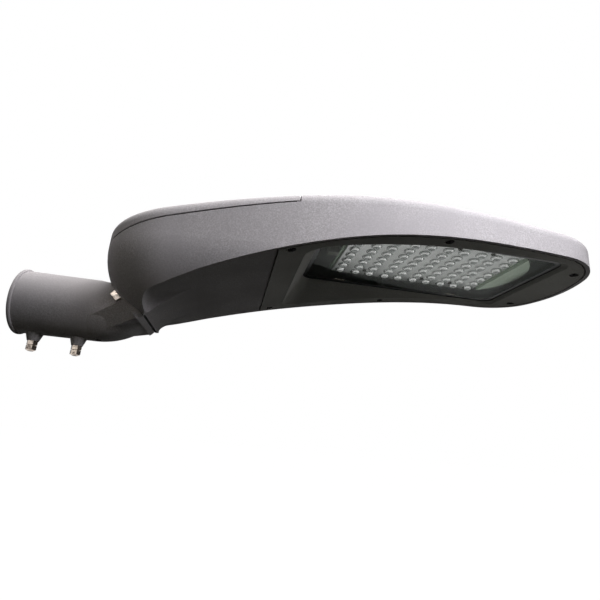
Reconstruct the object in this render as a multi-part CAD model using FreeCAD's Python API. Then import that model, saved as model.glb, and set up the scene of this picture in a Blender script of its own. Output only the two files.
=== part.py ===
"""Head of a LED street light for the end of a pole arm.

The origin is the centre of the pole socket's mouth. The pole goes in along +X, the nose of the
head points to +X, +Y is to the side and +Z is up. All sizes are in millimetres.
"""
import FreeCAD, Part
import math
import os

from FreeCAD import Placement, Rotation, Vector

# Pole socket with its two set screws
pole_diameter = 60.0
pole_clearance = 1.0
socket_wall = 4.5
socket_depth = 92.0
mouth_bead_width = 4.0
mouth_bead_height = 1.8
mouth_bead_round = 1.6
set_screw_station = 21.5
set_screw_spacing = 47.0
set_screw_diameter = 6.0
set_screw_flats = 10.0
set_screw_head = 6.0
lock_nut_height = 5.0
screw_boss_height = 8.0
screw_boss_radius = 6.0
screw_boss_flare = 3.5
screw_boss_root = 2.0
thread_clearance = 0.1

# Slanted joint between the spigot and the head
joint_station = 136.5
joint_angle = 45.0
flange_width = 102.0
flange_low = 11.3
flange_high = 36.0
flange_corner = 11.0
flange_thickness = 7.0
flange_room = 1.2
tube_room = 3.0
flange_gasket_thickness = 2.6
flange_gasket_inset = 4.0
flange_gasket_hole_room = 1.0
neck_run = 10.0
neck_half_width = 34.5
neck_low = 9.0
neck_high = 48.5
neck_square_mid = 2.8
neck_square_end = 4.5
neck_swell = 0.5
neck_points = 24
chin_start_half = 14.0
chin_start_side = 32.0
chin_end_half = 47.0
chin_edge = 1.0
chin_high = 15.0
cable_way_radius = 14.5
flange_bolt_diameter = 6.0
flange_bolt_flats = 10.0
flange_bolt_head = 4.5
flange_bolt_side = 44.0
flange_bolt_up = 24.5
flange_bolt_grip = 13.0
flange_boss_end = 3.0
flange_washer_radius = 6.2
flange_washer_thickness = 1.6
joint_wall = 8.0

# Outer form of the head
head_length = 598.0
rear_overhang = 46.5
bay_length = 184.0
rear_corner = 82.0
nose_corner = 72.0
nose_radius = 200.0
rear_border = 8.0
seam_border = 33.5
side_border = 43.0
front_border = 33.0
nose_border = 22.0
widest_from_tip = 336.0
front_from_tip = 148.0
arch_height = 107.0
arch_radius = 1100.0
arch_from_tip = 88.0
belly_reach = 63.5
ridge_radius = 1330.0
ridge_from_tip = 178.0
head_rise = 23.9
crown_radius = 569.0
shoulder_round = 14.0
bulb_bottom = -16.0
bulb_round = 78.0
keel_half = 43.0
scoop_foot = 14.0
scoop_lean = 30.0
scoop_reach = 56.0
scoop_slope = 23.5
scoop_turn = 13.0
scoop_flank_round = 8.0
scoop_run_out = 18.0

# Castings' walls
wall = 4.5
roof = 5.0
bay_floor = 4.5
partition_wall = 6.0
deck = 5.0
fin_groove_width = 8.0
fin_wall = 7.0
fin_depth = 8.0
fin_count = 9
fin_end_margin = 18.0

# Top cover of the driver bay
cover_drop = 24.0
cover_overlap = 19.0
cover_front_slant = 4.0
cover_thickness = 3.5
cover_front_wall = 11.0
seam_gap = 1.6
cover_gasket_inset = 1.6
cover_gasket_width = 2.4
cover_screw_diameter = 5.0
cover_screw_head_radius = 4.5
cover_screw_head = 4.0
cover_screw_grip = 12.0
cover_screw_room = 0.5
cover_screw_seat = 6.0
cover_screw_inset = 9.5
cover_screw_rear_side = 22.0
cover_boss_wall = 3.5
cover_boss_end = 4.0

# Window, lens frame and glass
window_half_rear = 91.0
window_half_front = 85.0
window_corner = 14.0
window_rear_margin = 57.0
window_nose_margin = 56.0
mouth_drop = 43.0
mouth_rear_flare = 26.0
mouth_front_flare = 58.0
mouth_side_flare_rear = 21.0
mouth_side_flare_front = 90.0
frame_skin = 4.0
frame_gap = 2.0
frame_wall = 3.0
frame_land = 7.0
frame_land_thickness = 4.0
frame_gasket_width = 3.0
frame_gasket_thickness = 2.0
frame_gasket_inset = 1.0
frame_screw_diameter = 5.0
frame_screw_head_radius = 4.4
frame_screw_sink = 2.4
frame_screw_head = 1.9
frame_screw_end = 2.0
frame_screw_well = 5.4
frame_screw_grip = 14.0
frame_screw_border = 13.5
frame_screw_rear = 15.0
frame_screw_middle = 225.0
frame_screw_nose = 30.0
frame_screw_nose_side = 66.0
frame_boss_radius = 5.0
glass_recess = 4.0
glass_thickness = 4.0
glass_ledge = 6.0
glass_room = 0.6
glass_seal_thickness = 1.0
glass_seal_width = 4.0
rim_wall = 4.0
rim_depth = 4.0
clip_length = 16.0
clip_thickness = 1.2
clip_overlap = 4.0
clip_end_margin = 60.0
clip_screw_diameter = 3.0
clip_screw_head_radius = 2.6
clip_screw_head = 1.8
clip_screw_grip = 5.0

# LED module behind the glass
lens_rows = 8
lens_row_pitch = 19.0
lens_pair_pitch = 23.8
lens_pair_gap = 21.1
lens_rear_margin = 53.0
lens_front_margin = 44.0
lens_radius = 6.6
lens_height = 5.0
lens_glass_gap = 2.5
lens_border = 10.8
lens_plate_thickness = 3.0
lens_plate_recess = 1.4
lens_plate_rim = 3.0
lens_facets = 8
lens_shoulder_share = 0.86
lens_shoulder_depth = 2.75
lens_flat_share = 0.45
board_thickness = 1.6
board_inset = 2.0
chip_size = 3.5
chip_height = 0.8
spreader_thickness = 3.0
spreader_side = 2.0
spreader_rear = 3.0
spreader_nose = 27.0
spreader_nose_half = 62.0
spreader_nose_drop = 4.5
pad_border = 3.0
pad_rear = 28.0
module_screw_diameter = 3.0
module_screw_head_radius = 2.8
module_screw_head = 2.0
module_screw_grip = 4.0
connector_length = 15.0
connector_width = 12.0
connector_height = 11.0
connector_side = 8.0
connector_round = 1.0

# Gear in the driver bay
tray_lift = 30.0
tray_tilt = 15.0
tray_length = 132.0
tray_width = 146.0
tray_thickness = 1.5
tray_corner = 10.0
tray_screw_margin = 10.0
tray_screw_diameter = 4.0
tray_post_radius = 5.0
driver_length = 104.0
driver_width = 56.0
driver_height = 31.0
driver_round = 3.0
driver_foot = 9.0
driver_foot_thickness = 2.5
driver_screw_diameter = 4.0
small_head_radius = 3.8
small_head = 2.6
small_grip = 6.0
terminal_length = 36.0
terminal_width = 17.0
terminal_height = 17.0
terminal_ways = 3
terminal_hole_radius = 3.2
terminal_hole_up = 6.0
terminal_screw_well = 2.4
gear_gap = 5.0
surge_length = 42.0
surge_width = 22.0
surge_height = 24.0
gland_thread_radius = 8.0
gland_bore_radius = 5.0
gland_flats = 22.0
gland_collar = 5.0
gland_dome = 12.0
gland_dome_inset = 1.0
gland_dome_lip = 2.0
gland_nut_thickness = 5.0
grommet_hole_radius = 8.0
grommet_bore_radius = 4.0
grommet_lip = 2.2
grommet_side = 48.0
grommet_up = 23.0

# Sizes that follow from those above
bore_radius = pole_diameter / 2 + pole_clearance
tube_radius = bore_radius + socket_wall
slant_cos = math.cos(math.radians(joint_angle))
slant_sin = math.sin(math.radians(joint_angle))
joint_point = Vector(joint_station, 0, 0)
joint_up = Vector(-slant_sin, 0, slant_cos)
joint_in = Vector(slant_cos, 0, slant_sin)
joint_frame = Placement(joint_point, Rotation(Vector(0, 1, 0), joint_up, joint_in, "ZXY"))
flange_face = -flange_gasket_thickness - flange_thickness
neck_middle = (neck_high - neck_low) / 2
neck_half_height = (neck_high + neck_low) / 2
neck_start = socket_depth - neck_run

head_rear = joint_station - rear_overhang
head_tip = head_rear + head_length
seam_station = head_rear + bay_length
widest_station = head_tip - widest_from_tip
front_station = head_tip - front_from_tip
arch_station = head_tip - arch_from_tip
ridge_station = head_tip - ridge_from_tip
belly_station = joint_station + belly_reach
partition_rear = seam_station - partition_wall
cover_front = seam_station + cover_overlap

window_rear = seam_station + window_rear_margin
window_front = head_tip - window_nose_margin
wide_half = window_half_rear + side_border
seam_half = window_half_rear + seam_border
rear_half = window_half_rear + rear_border
front_half = window_half_front + front_border
nose_half = window_half_front + nose_border

glass_level = arch_height + glass_recess
ledge_level = glass_level - glass_seal_thickness
rim_level = glass_level + glass_thickness
lens_level = rim_level + lens_glass_gap + lens_height
board_level = lens_level + lens_plate_thickness
spreader_level = board_level + board_thickness
pad_level = spreader_level + spreader_thickness
ridge_height = pad_level + head_rise
land_rise = frame_skin + frame_gasket_thickness

# The blanks that cut the form are made this much larger than the head
spare = 60.0

# Cutters run past the faces they open by this much
over = 1.0

# Points closer than this count as the same
near = 0.1
far_side = wide_half + spare
far_up = ridge_height + spare
far_down = -tube_radius - spare

os.makedirs("parts", exist_ok=True)


def save(name, shape):
    """Writes one piece, or a group of equal pieces, to its STEP file."""
    shape.exportStep("parts/" + name + ".step")


def one_solid(shape):
    """Joins faces that a union split and gives the piece as one solid."""
    return shape.removeSplitter().Solids[0]


def box(x0, x1, y0, y1, z0, z1):
    """A block between two corners."""
    return Part.makeBox(x1 - x0, y1 - y0, z1 - z0, Vector(x0, y0, z0))


def rod(radius, start, end):
    """A round bar from one point to another."""
    return Part.makeCylinder(radius, (end - start).Length, start, end - start)


def hexagon(flats, height):
    """A hexagonal bar that stands on the XY plane."""
    corner = flats / math.sqrt(3)
    turns = [math.radians(60 * i) for i in range(7)]
    ring = Part.makePolygon([Vector(corner * math.cos(t), corner * math.sin(t), 0) for t in turns])
    return Part.Face(ring).extrude(Vector(0, 0, height))


def screw(head_radius, head, diameter, length):
    """A round-headed screw: the head's seat is the XY plane, the shank goes down."""
    cap = Part.makeCylinder(head_radius, head)
    return cap.fuse(rod(diameter / 2, Vector(0, 0, -length), Vector(0, 0, head / 2))).removeSplitter()


def hex_bolt(flats, head, diameter, length):
    """A hexagon-headed bolt: the head's seat is the XY plane, the shank goes down."""
    cap = hexagon(flats, head)
    return cap.fuse(rod(diameter / 2, Vector(0, 0, -length), Vector(0, 0, head / 2))).removeSplitter()


def at(shape, placement):
    """A copy of a shape, moved from its own frame to a place on the lamp."""
    copy = shape.copy()
    copy.Placement = placement.multiply(shape.Placement)
    return copy


def upright(point):
    """A place on the lamp with no turn."""
    return Placement(point, Rotation())


def hanging(point):
    """A place on the lamp for a screw whose head points down."""
    return Placement(point, Rotation(Vector(1, 0, 0), 180))


def rounded_ring(corners, radius):
    """A closed outline through corners in one plane, each turned with the same radius."""
    edges = []
    starts = []
    ends = []
    count = len(corners)
    for i, corner in enumerate(corners):
        back = (corners[i - 1] - corner).normalize()
        ahead = (corners[(i + 1) % count] - corner).normalize()
        half = back.getAngle(ahead) / 2
        reach = radius / math.tan(half)
        middle = (back + ahead).normalize()
        starts.append(corner + back * reach)
        ends.append(corner + ahead * reach)
        turn = corner + middle * (radius / math.sin(half) - radius)
        edges.append(Part.Arc(starts[-1], turn, ends[-1]).toShape())
    for i in range(count):
        edges.append(Part.makeLine(ends[i], starts[(i + 1) % count]))
    return Part.Wire(Part.__sortEdges__(edges))


def window_ring(grow, level):
    """The window's outline, grown on all sides, at a height."""
    corners = [Vector(window_rear - grow, -window_half_rear - grow, level),
               Vector(window_front + grow, -window_half_front - grow, level),
               Vector(window_front + grow, window_half_front + grow, level),
               Vector(window_rear - grow, window_half_rear + grow, level)]
    return rounded_ring(corners, window_corner + grow)


def window_prism(grow, low, high):
    """A block with the window's outline between two heights."""
    return Part.Face(window_ring(grow, low)).extrude(Vector(0, 0, high - low))


def side_curve(inset, level, side):
    """The long side of the head seen from above, from the rear corner to the nose corner."""
    nose_y = nose_half - inset
    bow = nose_radius - inset
    nose_x = head_tip - nose_radius + math.sqrt(bow ** 2 - nose_y ** 2)
    stations = [(head_rear + inset, rear_half - inset), (seam_station, seam_half - inset),
                (widest_station, wide_half - inset), (front_station, front_half - inset), (nose_x, nose_y)]
    curve = Part.BSplineCurve()
    curve.interpolate([Vector(x, side * y, level) for x, y in stations])
    return curve


def half_width(station):
    """Half the head's width at a station along it, before its corners are turned."""
    curve = side_curve(0, 0, 1)
    low = curve.FirstParameter
    high = curve.LastParameter
    for _ in range(40):
        middle = (low + high) / 2
        if curve.value(middle).x < station:
            low = middle
        else:
            high = middle
    return curve.value(low).y


def upright_edges(solid, station):
    """The vertical edges of a prism at a station."""
    return [edge for edge in solid.Edges
            if edge.BoundBox.XLength < near and edge.BoundBox.YLength < near
            and abs(edge.BoundBox.XMin - station) < near]


def plan_prism(inset, low=far_down):
    """The head's outline seen from above, moved inwards, as a tall block."""
    left = side_curve(inset, low, 1)
    right = side_curve(inset, low, -1)
    nose = Part.Arc(left.EndPoint, Vector(head_tip - inset, 0, low), right.EndPoint)
    rear = Part.LineSegment(right.StartPoint, left.StartPoint)
    ring = Part.Wire([left.toShape(), nose.toShape(), right.toShape(), rear.toShape()])
    solid = Part.Face(ring).extrude(Vector(0, 0, far_up - low))
    nose_x = left.EndPoint.x
    solid = solid.makeFillet(rear_corner - inset, upright_edges(solid, head_rear + inset))
    return solid.makeFillet(nose_corner - inset, upright_edges(solid, nose_x))


def bulb(inset):
    """The outline as a block whose lower edge is rolled under, which gives the rear its round lobes."""
    low = bulb_bottom + inset
    block = plan_prism(inset, low)
    rim = [edge for edge in block.Edges if edge.BoundBox.ZMax < low + near]
    return block.makeFillet(bulb_round - inset, rim)


def top_mass(drop):
    """Everything below the head's crowned and arched top, lowered by a drop."""
    crown = crown_radius - drop
    edge_level = ridge_height - crown_radius + math.sqrt(crown ** 2 - far_side ** 2)
    left = Vector(ridge_station, -far_side, edge_level)
    middle = Vector(ridge_station, 0, ridge_height - drop)
    right = Vector(ridge_station, far_side, edge_level)
    base_right = Vector(ridge_station, far_side, 2 * far_down - head_length / 4)
    base_left = Vector(ridge_station, -far_side, base_right.z)
    sides = Part.makePolygon([right, base_right, base_left, left])
    face = Part.Face(Part.Wire([Part.Arc(left, middle, right).toShape()] + sides.Edges))
    axis_point = Vector(ridge_station, 0, ridge_height - ridge_radius)
    sweep = math.degrees(head_length / ridge_radius)
    face.rotate(axis_point, Vector(0, 1, 0), -sweep)
    return face.revolve(axis_point, Vector(0, 1, 0), 2 * sweep)


def arch_point(station, rise):
    """A point of the arched underside, raised square to the arch."""
    radius = arch_radius + rise
    above = math.sqrt(radius ** 2 - (station - arch_station) ** 2)
    return Vector(station, 0, arch_height - arch_radius + above)


def keel_bend():
    """Centre and radius of the bend from the arch down to the keel, and where it leaves the arch."""
    leave = arch_point(belly_station, 0)
    outward = (leave - Vector(arch_station, 0, arch_height - arch_radius)).normalize()
    chord = joint_point - joint_up * flange_low - leave
    radius = -chord.Length ** 2 / (2 * chord.dot(outward))
    return leave - outward * radius, radius, outward


def belly_level(station):
    """Height of the underside on the lamp's middle plane."""
    centre, radius, outward = keel_bend()
    if station > belly_station:
        return arch_point(station, 0).z
    return centre.z + math.sqrt(radius ** 2 - (station - centre.x) ** 2)


def across(ring):
    """A side-view outline drawn out over the whole width."""
    face = Part.Face(ring)
    face.translate(Vector(0, -far_side, 0))
    return face.extrude(Vector(0, 2 * far_side, 0))


def belly_mass(rise):
    """Everything above the underside, raised square to it."""
    centre, bend, outward = keel_bend()
    radius = bend + rise
    leave = centre + outward * radius
    low = bulb_bottom - spare / 2
    corner = Vector(centre.x - math.sqrt(radius ** 2 - (low - centre.z) ** 2), 0, low)
    bend_middle = centre + (leave - centre + corner - centre).normalize() * radius
    tip = arch_point(head_tip + spare, rise)
    arch_middle = arch_point((leave.x + tip.x) / 2, rise)
    back = head_rear - spare
    outline = [tip, Vector(tip.x, 0, far_up), Vector(back, 0, far_up), Vector(back, 0, low), corner]
    edges = [Part.Arc(corner, bend_middle, leave).toShape(), Part.Arc(leave, arch_middle, tip).toShape()]
    return across(Part.Wire(edges + Part.makePolygon(outline).Edges))


def joint_mass(depth):
    """Everything deeper than a depth behind the slanted joint."""
    block = box(-far_side, far_side, -head_length, head_length, depth, head_length)
    return at(block, joint_frame)


def arch_band(low, high):
    """A layer between two heights above the arched underside, in front of the seam."""
    ends = [seam_station - partition_wall, head_tip + spare]
    middle = sum(ends) / 2
    under = Part.Arc(arch_point(ends[0], low), arch_point(middle, low), arch_point(ends[1], low))
    upper = Part.Arc(arch_point(ends[1], high), arch_point(middle, high), arch_point(ends[0], high))
    front = Part.makeLine(under.EndPoint, upper.StartPoint)
    rear = Part.makeLine(upper.EndPoint, under.StartPoint)
    return across(Part.Wire([under.toShape(), front, upper.toShape(), rear]))


def seam_point(station, gap):
    """A point of the cover's seam, raised by a gap."""
    radius = ridge_radius - cover_drop + gap
    above = math.sqrt(radius ** 2 - (station - ridge_station) ** 2)
    return Vector(station, 0, ridge_height - ridge_radius + above)


def cover_zone(gap):
    """Everything above the cover's seam and behind the cover's front end, drawn back by a gap."""
    back = head_rear - spare
    front = cover_front - gap
    rear_point = seam_point(back, gap)
    front_point = seam_point(front, gap)
    seam = Part.Arc(rear_point, seam_point((back + front) / 2, gap), front_point).toShape()
    outline = [front_point, Vector(front + cover_front_slant, 0, far_up), Vector(back, 0, far_up),
               rear_point]
    return across(Part.Wire([seam] + Part.makePolygon(outline).Edges))


def ahead_of(station):
    """Everything in front of a station."""
    return box(station, head_tip + spare, -far_side, far_side, far_down, far_up)


def behind(station):
    """Everything behind a station."""
    return box(head_rear - spare, station, -far_side, far_side, far_down, far_up)


def ring_between(outer, inner, rear_outer, rear_inner):
    """A band along the head's outline in front of a station, as a tall ring."""
    hole = plan_prism(inner).common(ahead_of(rear_inner))
    return plan_prism(outer).common(ahead_of(rear_outer)).cut(hole)


def all_near(edge, test):
    """True where an edge's ends and middle all pass a test."""
    points = [vertex.Point for vertex in edge.Vertexes]
    points.append(edge.valueAt((edge.FirstParameter + edge.LastParameter) / 2))
    return all(test(point) for point in points)


def on_top(point):
    """True for a point of the crowned top."""
    along = math.hypot(point.x - ridge_station, point.z - ridge_height + ridge_radius)
    return abs(math.hypot(along - ridge_radius + crown_radius, point.y) - crown_radius) < near


def flat_cross(a, b):
    """Size of the cross product of two directions in the side view."""
    return a.x * b.z - a.z * b.x


def scoop(side, grow=0.0):
    """A cutter that raises the underside beside the keel, from the lobe's foot to where it runs out."""
    lean = math.radians(scoop_lean)
    slope = math.radians(scoop_slope)
    up = Vector(-math.sin(lean), 0, math.cos(lean))
    ahead = Vector(math.cos(slope), 0, math.sin(slope))
    end_x = joint_station + scoop_reach
    foot = Vector(joint_station + scoop_foot, 0, bulb_bottom) + Vector(-up.z, 0, up.x) * grow
    end = Vector(end_x, 0, belly_level(end_x)) + Vector(-ahead.z, 0, ahead.x) * grow
    corner = foot + up * (flat_cross(end - foot, ahead) / flat_cross(up, ahead))
    front = end + ahead * (scoop_run_out + grow)
    base = foot - up * spare
    ring = rounded_ring([base, corner, front, Vector(front.x, 0, base.z)], scoop_turn + grow)
    inner = side * (keel_half - grow)
    face = Part.Face(ring)
    face.translate(Vector(0, inner, 0))
    block = face.extrude(Vector(0, side * far_side, 0))
    flank = [edge for edge in block.Edges
             if edge.BoundBox.YLength < near and abs(edge.BoundBox.YMin - inner) < near]
    return block.makeFillet(scoop_flank_round + grow, flank)


def head_form():
    """The outer form of the head: housing and cover in one."""
    form = bulb(0).common(belly_mass(0)).common(top_mass(0)).Solids[0]
    form = form.makeFillet(shoulder_round, [edge for edge in form.Edges if all_near(edge, on_top)])
    return form.cut(scoop(1)).cut(scoop(-1)).Solids[0]


def cover_screw_places():
    """Points on the seam where the cover's screws go down."""
    front_x = seam_station + cover_screw_diameter / 2
    front_y = half_width(front_x) - wall - cover_screw_inset
    rear_x = head_rear + cover_screw_inset
    places = []
    for x, y in ((front_x, front_y), (rear_x, cover_screw_rear_side)):
        for side in (1, -1):
            point = seam_point(x, 0)
            places.append(Vector(x, side * y, point.z))
    return places


def frame_screw_places():
    """Points on the underside where the lens frame's screws go up."""
    rear_x = seam_station + frame_screw_rear
    middle_x = head_tip - frame_screw_middle
    nose_x = head_tip - frame_screw_nose
    stations = [(rear_x, half_width(rear_x) - frame_screw_border),
                (middle_x, half_width(middle_x) - frame_screw_border), (nose_x, frame_screw_nose_side)]
    places = []
    for x, y in stations:
        for side in (1, -1):
            places.append(Vector(x, side * y, arch_point(x, 0).z))
    return places


def lens_columns():
    """Stations of the lens columns: pairs that fill the length the module has."""
    first = window_rear + lens_rear_margin
    room = window_front - lens_front_margin - first
    pairs = int((room + lens_pair_gap) / (lens_pair_pitch + lens_pair_gap))
    step = lens_pair_pitch + lens_pair_gap
    return [first + step * pair + lens_pair_pitch * half for pair in range(pairs) for half in (0, 1)]


def lens_lines():
    """Side positions of the lens rows."""
    return [lens_row_pitch * (row - (lens_rows - 1) / 2) for row in range(lens_rows)]


columns = lens_columns()
rows = lens_lines()
plate_rear = columns[0] - lens_border
plate_front = columns[-1] + lens_border
plate_half = rows[-1] + lens_border
spreader_half = plate_half + spreader_side
spreader_rear_end = plate_rear - spreader_rear
pad_rear_end = plate_rear - pad_rear


def module_screw_places():
    """Points between the lenses where the module's screws go up."""
    pairs = len(columns) // 2
    gaps = sorted({0, (pairs - 1) // 2, pairs - 2})
    stations = [columns[2 * gap + 1] + lens_pair_gap / 2 for gap in gaps]
    side = rows[-1] - lens_row_pitch / 2
    return [Vector(x, side * turn, lens_level) for x in stations for turn in (1, -1)]


tray_x = (head_rear + wall + partition_rear) / 2
tray_frame = Placement(Vector(tray_x, 0, belly_level(tray_x) + bay_floor + tray_lift),
                       Rotation(Vector(0, 1, 0), -tray_tilt))


def tray_screw_places():
    """Points on the tray, in its own frame, where it is screwed to its posts."""
    x = tray_length / 2 - tray_screw_margin
    y = tray_width / 2 - tray_screw_margin
    return [Vector(x, y, 0), Vector(x, -y, 0), Vector(-x, y, 0), Vector(-x, -y, 0)]


def joint_outline(grow):
    """The flange's outline in the joint's own frame: a plate with two ears and a round top."""
    half = flange_width / 2 + grow
    corners = [Vector(-half, -flange_low - grow, 0), Vector(half, -flange_low - grow, 0),
               Vector(half, flange_high + grow, 0), Vector(-half, flange_high + grow, 0)]
    plate = Part.Face(rounded_ring(corners, flange_corner + grow))
    top = Part.Face(neck_ring(neck_half_width + grow, neck_half_height + grow, neck_square_end))
    top.translate(Vector(0, neck_middle, 0))
    return plate, top


def joint_plate(grow, low, high):
    """The flange's outline as a plate between two depths, placed on the lamp."""
    plate, top = joint_outline(grow)
    solids = []
    for face in (plate, top):
        face.translate(Vector(0, 0, low))
        solids.append(face.extrude(Vector(0, 0, high - low)))
    return at(one_solid(solids[0].fuse(solids[1])), joint_frame)


def neck_ring(half_wide, half_high, square):
    """An outline between a circle and a rounded rectangle: the higher the power, the squarer."""
    points = []
    for i in range(neck_points):
        turn = 2 * math.pi * i / neck_points
        cos = math.cos(turn)
        sin = math.sin(turn)
        x = half_wide * math.copysign(abs(cos) ** (2 / square), cos)
        y = half_high * math.copysign(abs(sin) ** (2 / square), sin)
        points.append(Vector(x, y, 0))
    curve = Part.BSplineCurve()
    curve.interpolate(points, True)
    return Part.Wire(curve.toShape())


def joint_rod(radius, side, up, low, high):
    """A round bar square to the joint, between two depths."""
    foot = Vector(side, up, low)
    return at(rod(radius, foot, Vector(side, up, high)), joint_frame)


def make_chin(end_depth):
    """The flat-bottomed flare that carries the socket's underside out to the flange's lower corners."""
    low = math.sqrt(tube_radius ** 2 - chin_start_half ** 2)
    high = math.sqrt(tube_radius ** 2 - chin_start_side ** 2)
    start = [(-chin_start_half, -low), (chin_start_half, -low), (chin_start_side, -high),
             (-chin_start_side, -high)]
    foot = chin_edge - flange_low
    end = [(-chin_end_half, foot), (chin_end_half, foot), (chin_end_half, chin_high),
           (-chin_end_half, chin_high)]
    first = [Vector(neck_start, y, z) for y, z in start]
    last = [joint_frame.multVec(Vector(side, up, end_depth)) for side, up in end]
    rings = [Part.makePolygon(points + points[:1]) for points in (first, last)]
    return Part.makeLoft(rings, True, True)


def make_spigot():
    """The spigot casting: pole socket, set-screw bosses, neck and slanted flange."""
    axis = Vector(1, 0, 0)
    tube = Part.makeCylinder(tube_radius, neck_start, Vector(0, 0, 0), axis)
    bead = Part.makeCylinder(tube_radius + mouth_bead_height, mouth_bead_width, Vector(0, 0, 0), axis)
    bead = bead.makeFillet(mouth_bead_round, [edge for edge in bead.Edges if len(edge.Vertexes) == 1])
    body = tube.fuse(bead)

    circle = Part.Wire(Part.makeCircle(tube_radius))
    start_turn = Rotation(Vector(0, 1, 0), Vector(0, 0, 1), axis, "ZXY")
    start = at(circle, Placement(Vector(neck_start, 0, 0), start_turn))
    end_depth = flange_face + flange_thickness / 2
    end_centre = joint_frame.multVec(Vector(0, neck_middle, end_depth))
    turn_point = end_centre - joint_in * (end_centre.z / joint_in.z)
    middle_centre = (Vector(neck_start, 0, 0) + turn_point * 2 + end_centre) * 0.25
    lean = math.radians(joint_angle / 2)
    middle_up = Vector(-math.sin(lean), 0, math.cos(lean))
    middle_in = Vector(math.cos(lean), 0, math.sin(lean))
    middle_turn = Rotation(Vector(0, 1, 0), middle_up, middle_in, "ZXY")
    middle_wide = (tube_radius + neck_half_width) / 2
    middle_high = (tube_radius + neck_half_height) / 2 + neck_swell
    middle = at(neck_ring(middle_wide, middle_high, neck_square_mid), Placement(middle_centre, middle_turn))
    end = at(neck_ring(neck_half_width, neck_half_height, neck_square_end),
             Placement(end_centre, joint_frame.Rotation))
    neck = Part.makeLoft([start, middle, end], True)
    body = body.fuse(neck).fuse(make_chin(end_depth))
    body = body.fuse(joint_plate(0, flange_face, -flange_gasket_thickness))

    for station in set_screw_stations():
        foot = Vector(station, 0, -tube_radius + screw_boss_root)
        body = body.fuse(Part.makeCone(screw_boss_radius + screw_boss_flare, screw_boss_radius,
                                       screw_boss_height + screw_boss_root, foot, Vector(0, 0, -1)))
    body = body.cut(Part.makeCylinder(bore_radius, socket_depth, Vector(0, 0, 0), axis))
    way_back = (neck_middle * joint_up.x + joint_station - socket_depth) / joint_in.x + cable_way_radius
    body = body.cut(joint_rod(cable_way_radius, 0, neck_middle, -way_back, over))
    for station in set_screw_stations():
        body = body.cut(rod(set_screw_diameter / 2 + thread_clearance, Vector(station, 0, 0),
                            Vector(station, 0, -tube_radius - screw_boss_height - over)))
    for side in (1, -1):
        body = body.cut(joint_rod(flange_bolt_diameter / 2 + thread_clearance, side * flange_bolt_side,
                                  flange_bolt_up, flange_face - over, over))
    return one_solid(body)


def set_screw_stations():
    """Places of the two set screws along the socket."""
    return [set_screw_station, set_screw_station + set_screw_spacing]


def make_set_screws():
    """The two set screws and their lock nuts, under the socket."""
    seat = tube_radius + screw_boss_height
    head_seat = seat + lock_nut_height + 4 * thread_clearance
    length = head_seat - bore_radius - 4 * thread_clearance
    bolt = hex_bolt(set_screw_flats, set_screw_head, set_screw_diameter, length)
    hole = Part.makeCylinder(set_screw_diameter / 2 + thread_clearance, lock_nut_height)
    nut = hexagon(set_screw_flats, lock_nut_height).cut(hole)
    places = [Vector(station, 0, 0) for station in set_screw_stations()]
    bolts = [at(bolt, hanging(place - Vector(0, 0, head_seat))) for place in places]
    nuts = [at(nut, hanging(place - Vector(0, 0, seat))) for place in places]
    return Part.makeCompound(bolts), Part.makeCompound(nuts)


def make_flange_bolts():
    """The two bolts that hold the flange to the head, and their washers."""
    seat = flange_face - flange_washer_thickness
    bolt = hex_bolt(flange_bolt_flats, flange_bolt_head, flange_bolt_diameter, flange_bolt_grip - seat)
    hole = Part.makeCylinder(flange_bolt_diameter / 2 + thread_clearance, flange_washer_thickness)
    washer = Part.makeCylinder(flange_washer_radius, flange_washer_thickness).cut(hole)
    bolts = []
    washers = []
    for side in (1, -1):
        point = Vector(side * flange_bolt_side, flange_bolt_up, seat)
        bolts.append(at(bolt, joint_frame.multiply(hanging(point))))
        washers.append(at(washer, joint_frame.multiply(upright(point))))
    return Part.makeCompound(bolts), Part.makeCompound(washers)


def make_flange_gasket():
    """The thin gasket between the flange and the head, open at the cable way and the bolts."""
    gasket = joint_plate(-flange_gasket_inset, -flange_gasket_thickness, 0)
    gasket = gasket.cut(joint_rod(cable_way_radius, 0, neck_middle, -joint_wall, joint_wall))
    for side in (1, -1):
        hole_radius = flange_bolt_diameter / 2 + flange_gasket_hole_room
        gasket = gasket.cut(joint_rod(hole_radius, side * flange_bolt_side, flange_bolt_up, -joint_wall,
                                      joint_wall))
    return gasket.Solids[0]


def make_gland():
    """The cable gland through the joint's wall, and its nut on the flange's side."""
    body = joint_rod(gland_thread_radius, 0, neck_middle, -gland_nut_thickness - over, joint_wall + over)
    collar_place = joint_frame.multiply(upright(Vector(0, neck_middle, joint_wall)))
    collar = at(hexagon(gland_flats, gland_collar), collar_place)
    dome_foot = joint_frame.multVec(Vector(0, neck_middle, joint_wall + gland_collar))
    dome = Part.makeCone(gland_flats / 2 - gland_dome_inset, gland_bore_radius + gland_dome_lip, gland_dome,
                         dome_foot, joint_in)
    reach = joint_wall + gland_collar + gland_dome + over
    body = body.fuse(collar).fuse(dome).cut(joint_rod(gland_bore_radius, 0, neck_middle, -reach, reach))
    nut_place = joint_frame.multiply(upright(Vector(0, neck_middle, -gland_nut_thickness)))
    hole = Part.makeCylinder(gland_thread_radius + thread_clearance, gland_nut_thickness)
    nut = at(hexagon(gland_flats, gland_nut_thickness).cut(hole), nut_place)
    return one_solid(body), nut


def fin_grooves():
    """The grooves between the cooling fins on top of the LED module."""
    rear = pad_rear_end + fin_end_margin
    front = plate_front
    pitch = fin_groove_width + fin_wall
    end = fin_groove_width / 2
    slots = []
    for i in range(fin_count):
        y = pitch * (i - (fin_count - 1) / 2)
        slot = box(rear, front, y - end, y + end, pad_level, far_up)
        for x in (rear, front):
            slot = slot.fuse(rod(end, Vector(x, y, pad_level), Vector(x, y, far_up)))
        slots.append(slot)
    return Part.makeCompound(slots).cut(top_mass(fin_depth))


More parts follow.
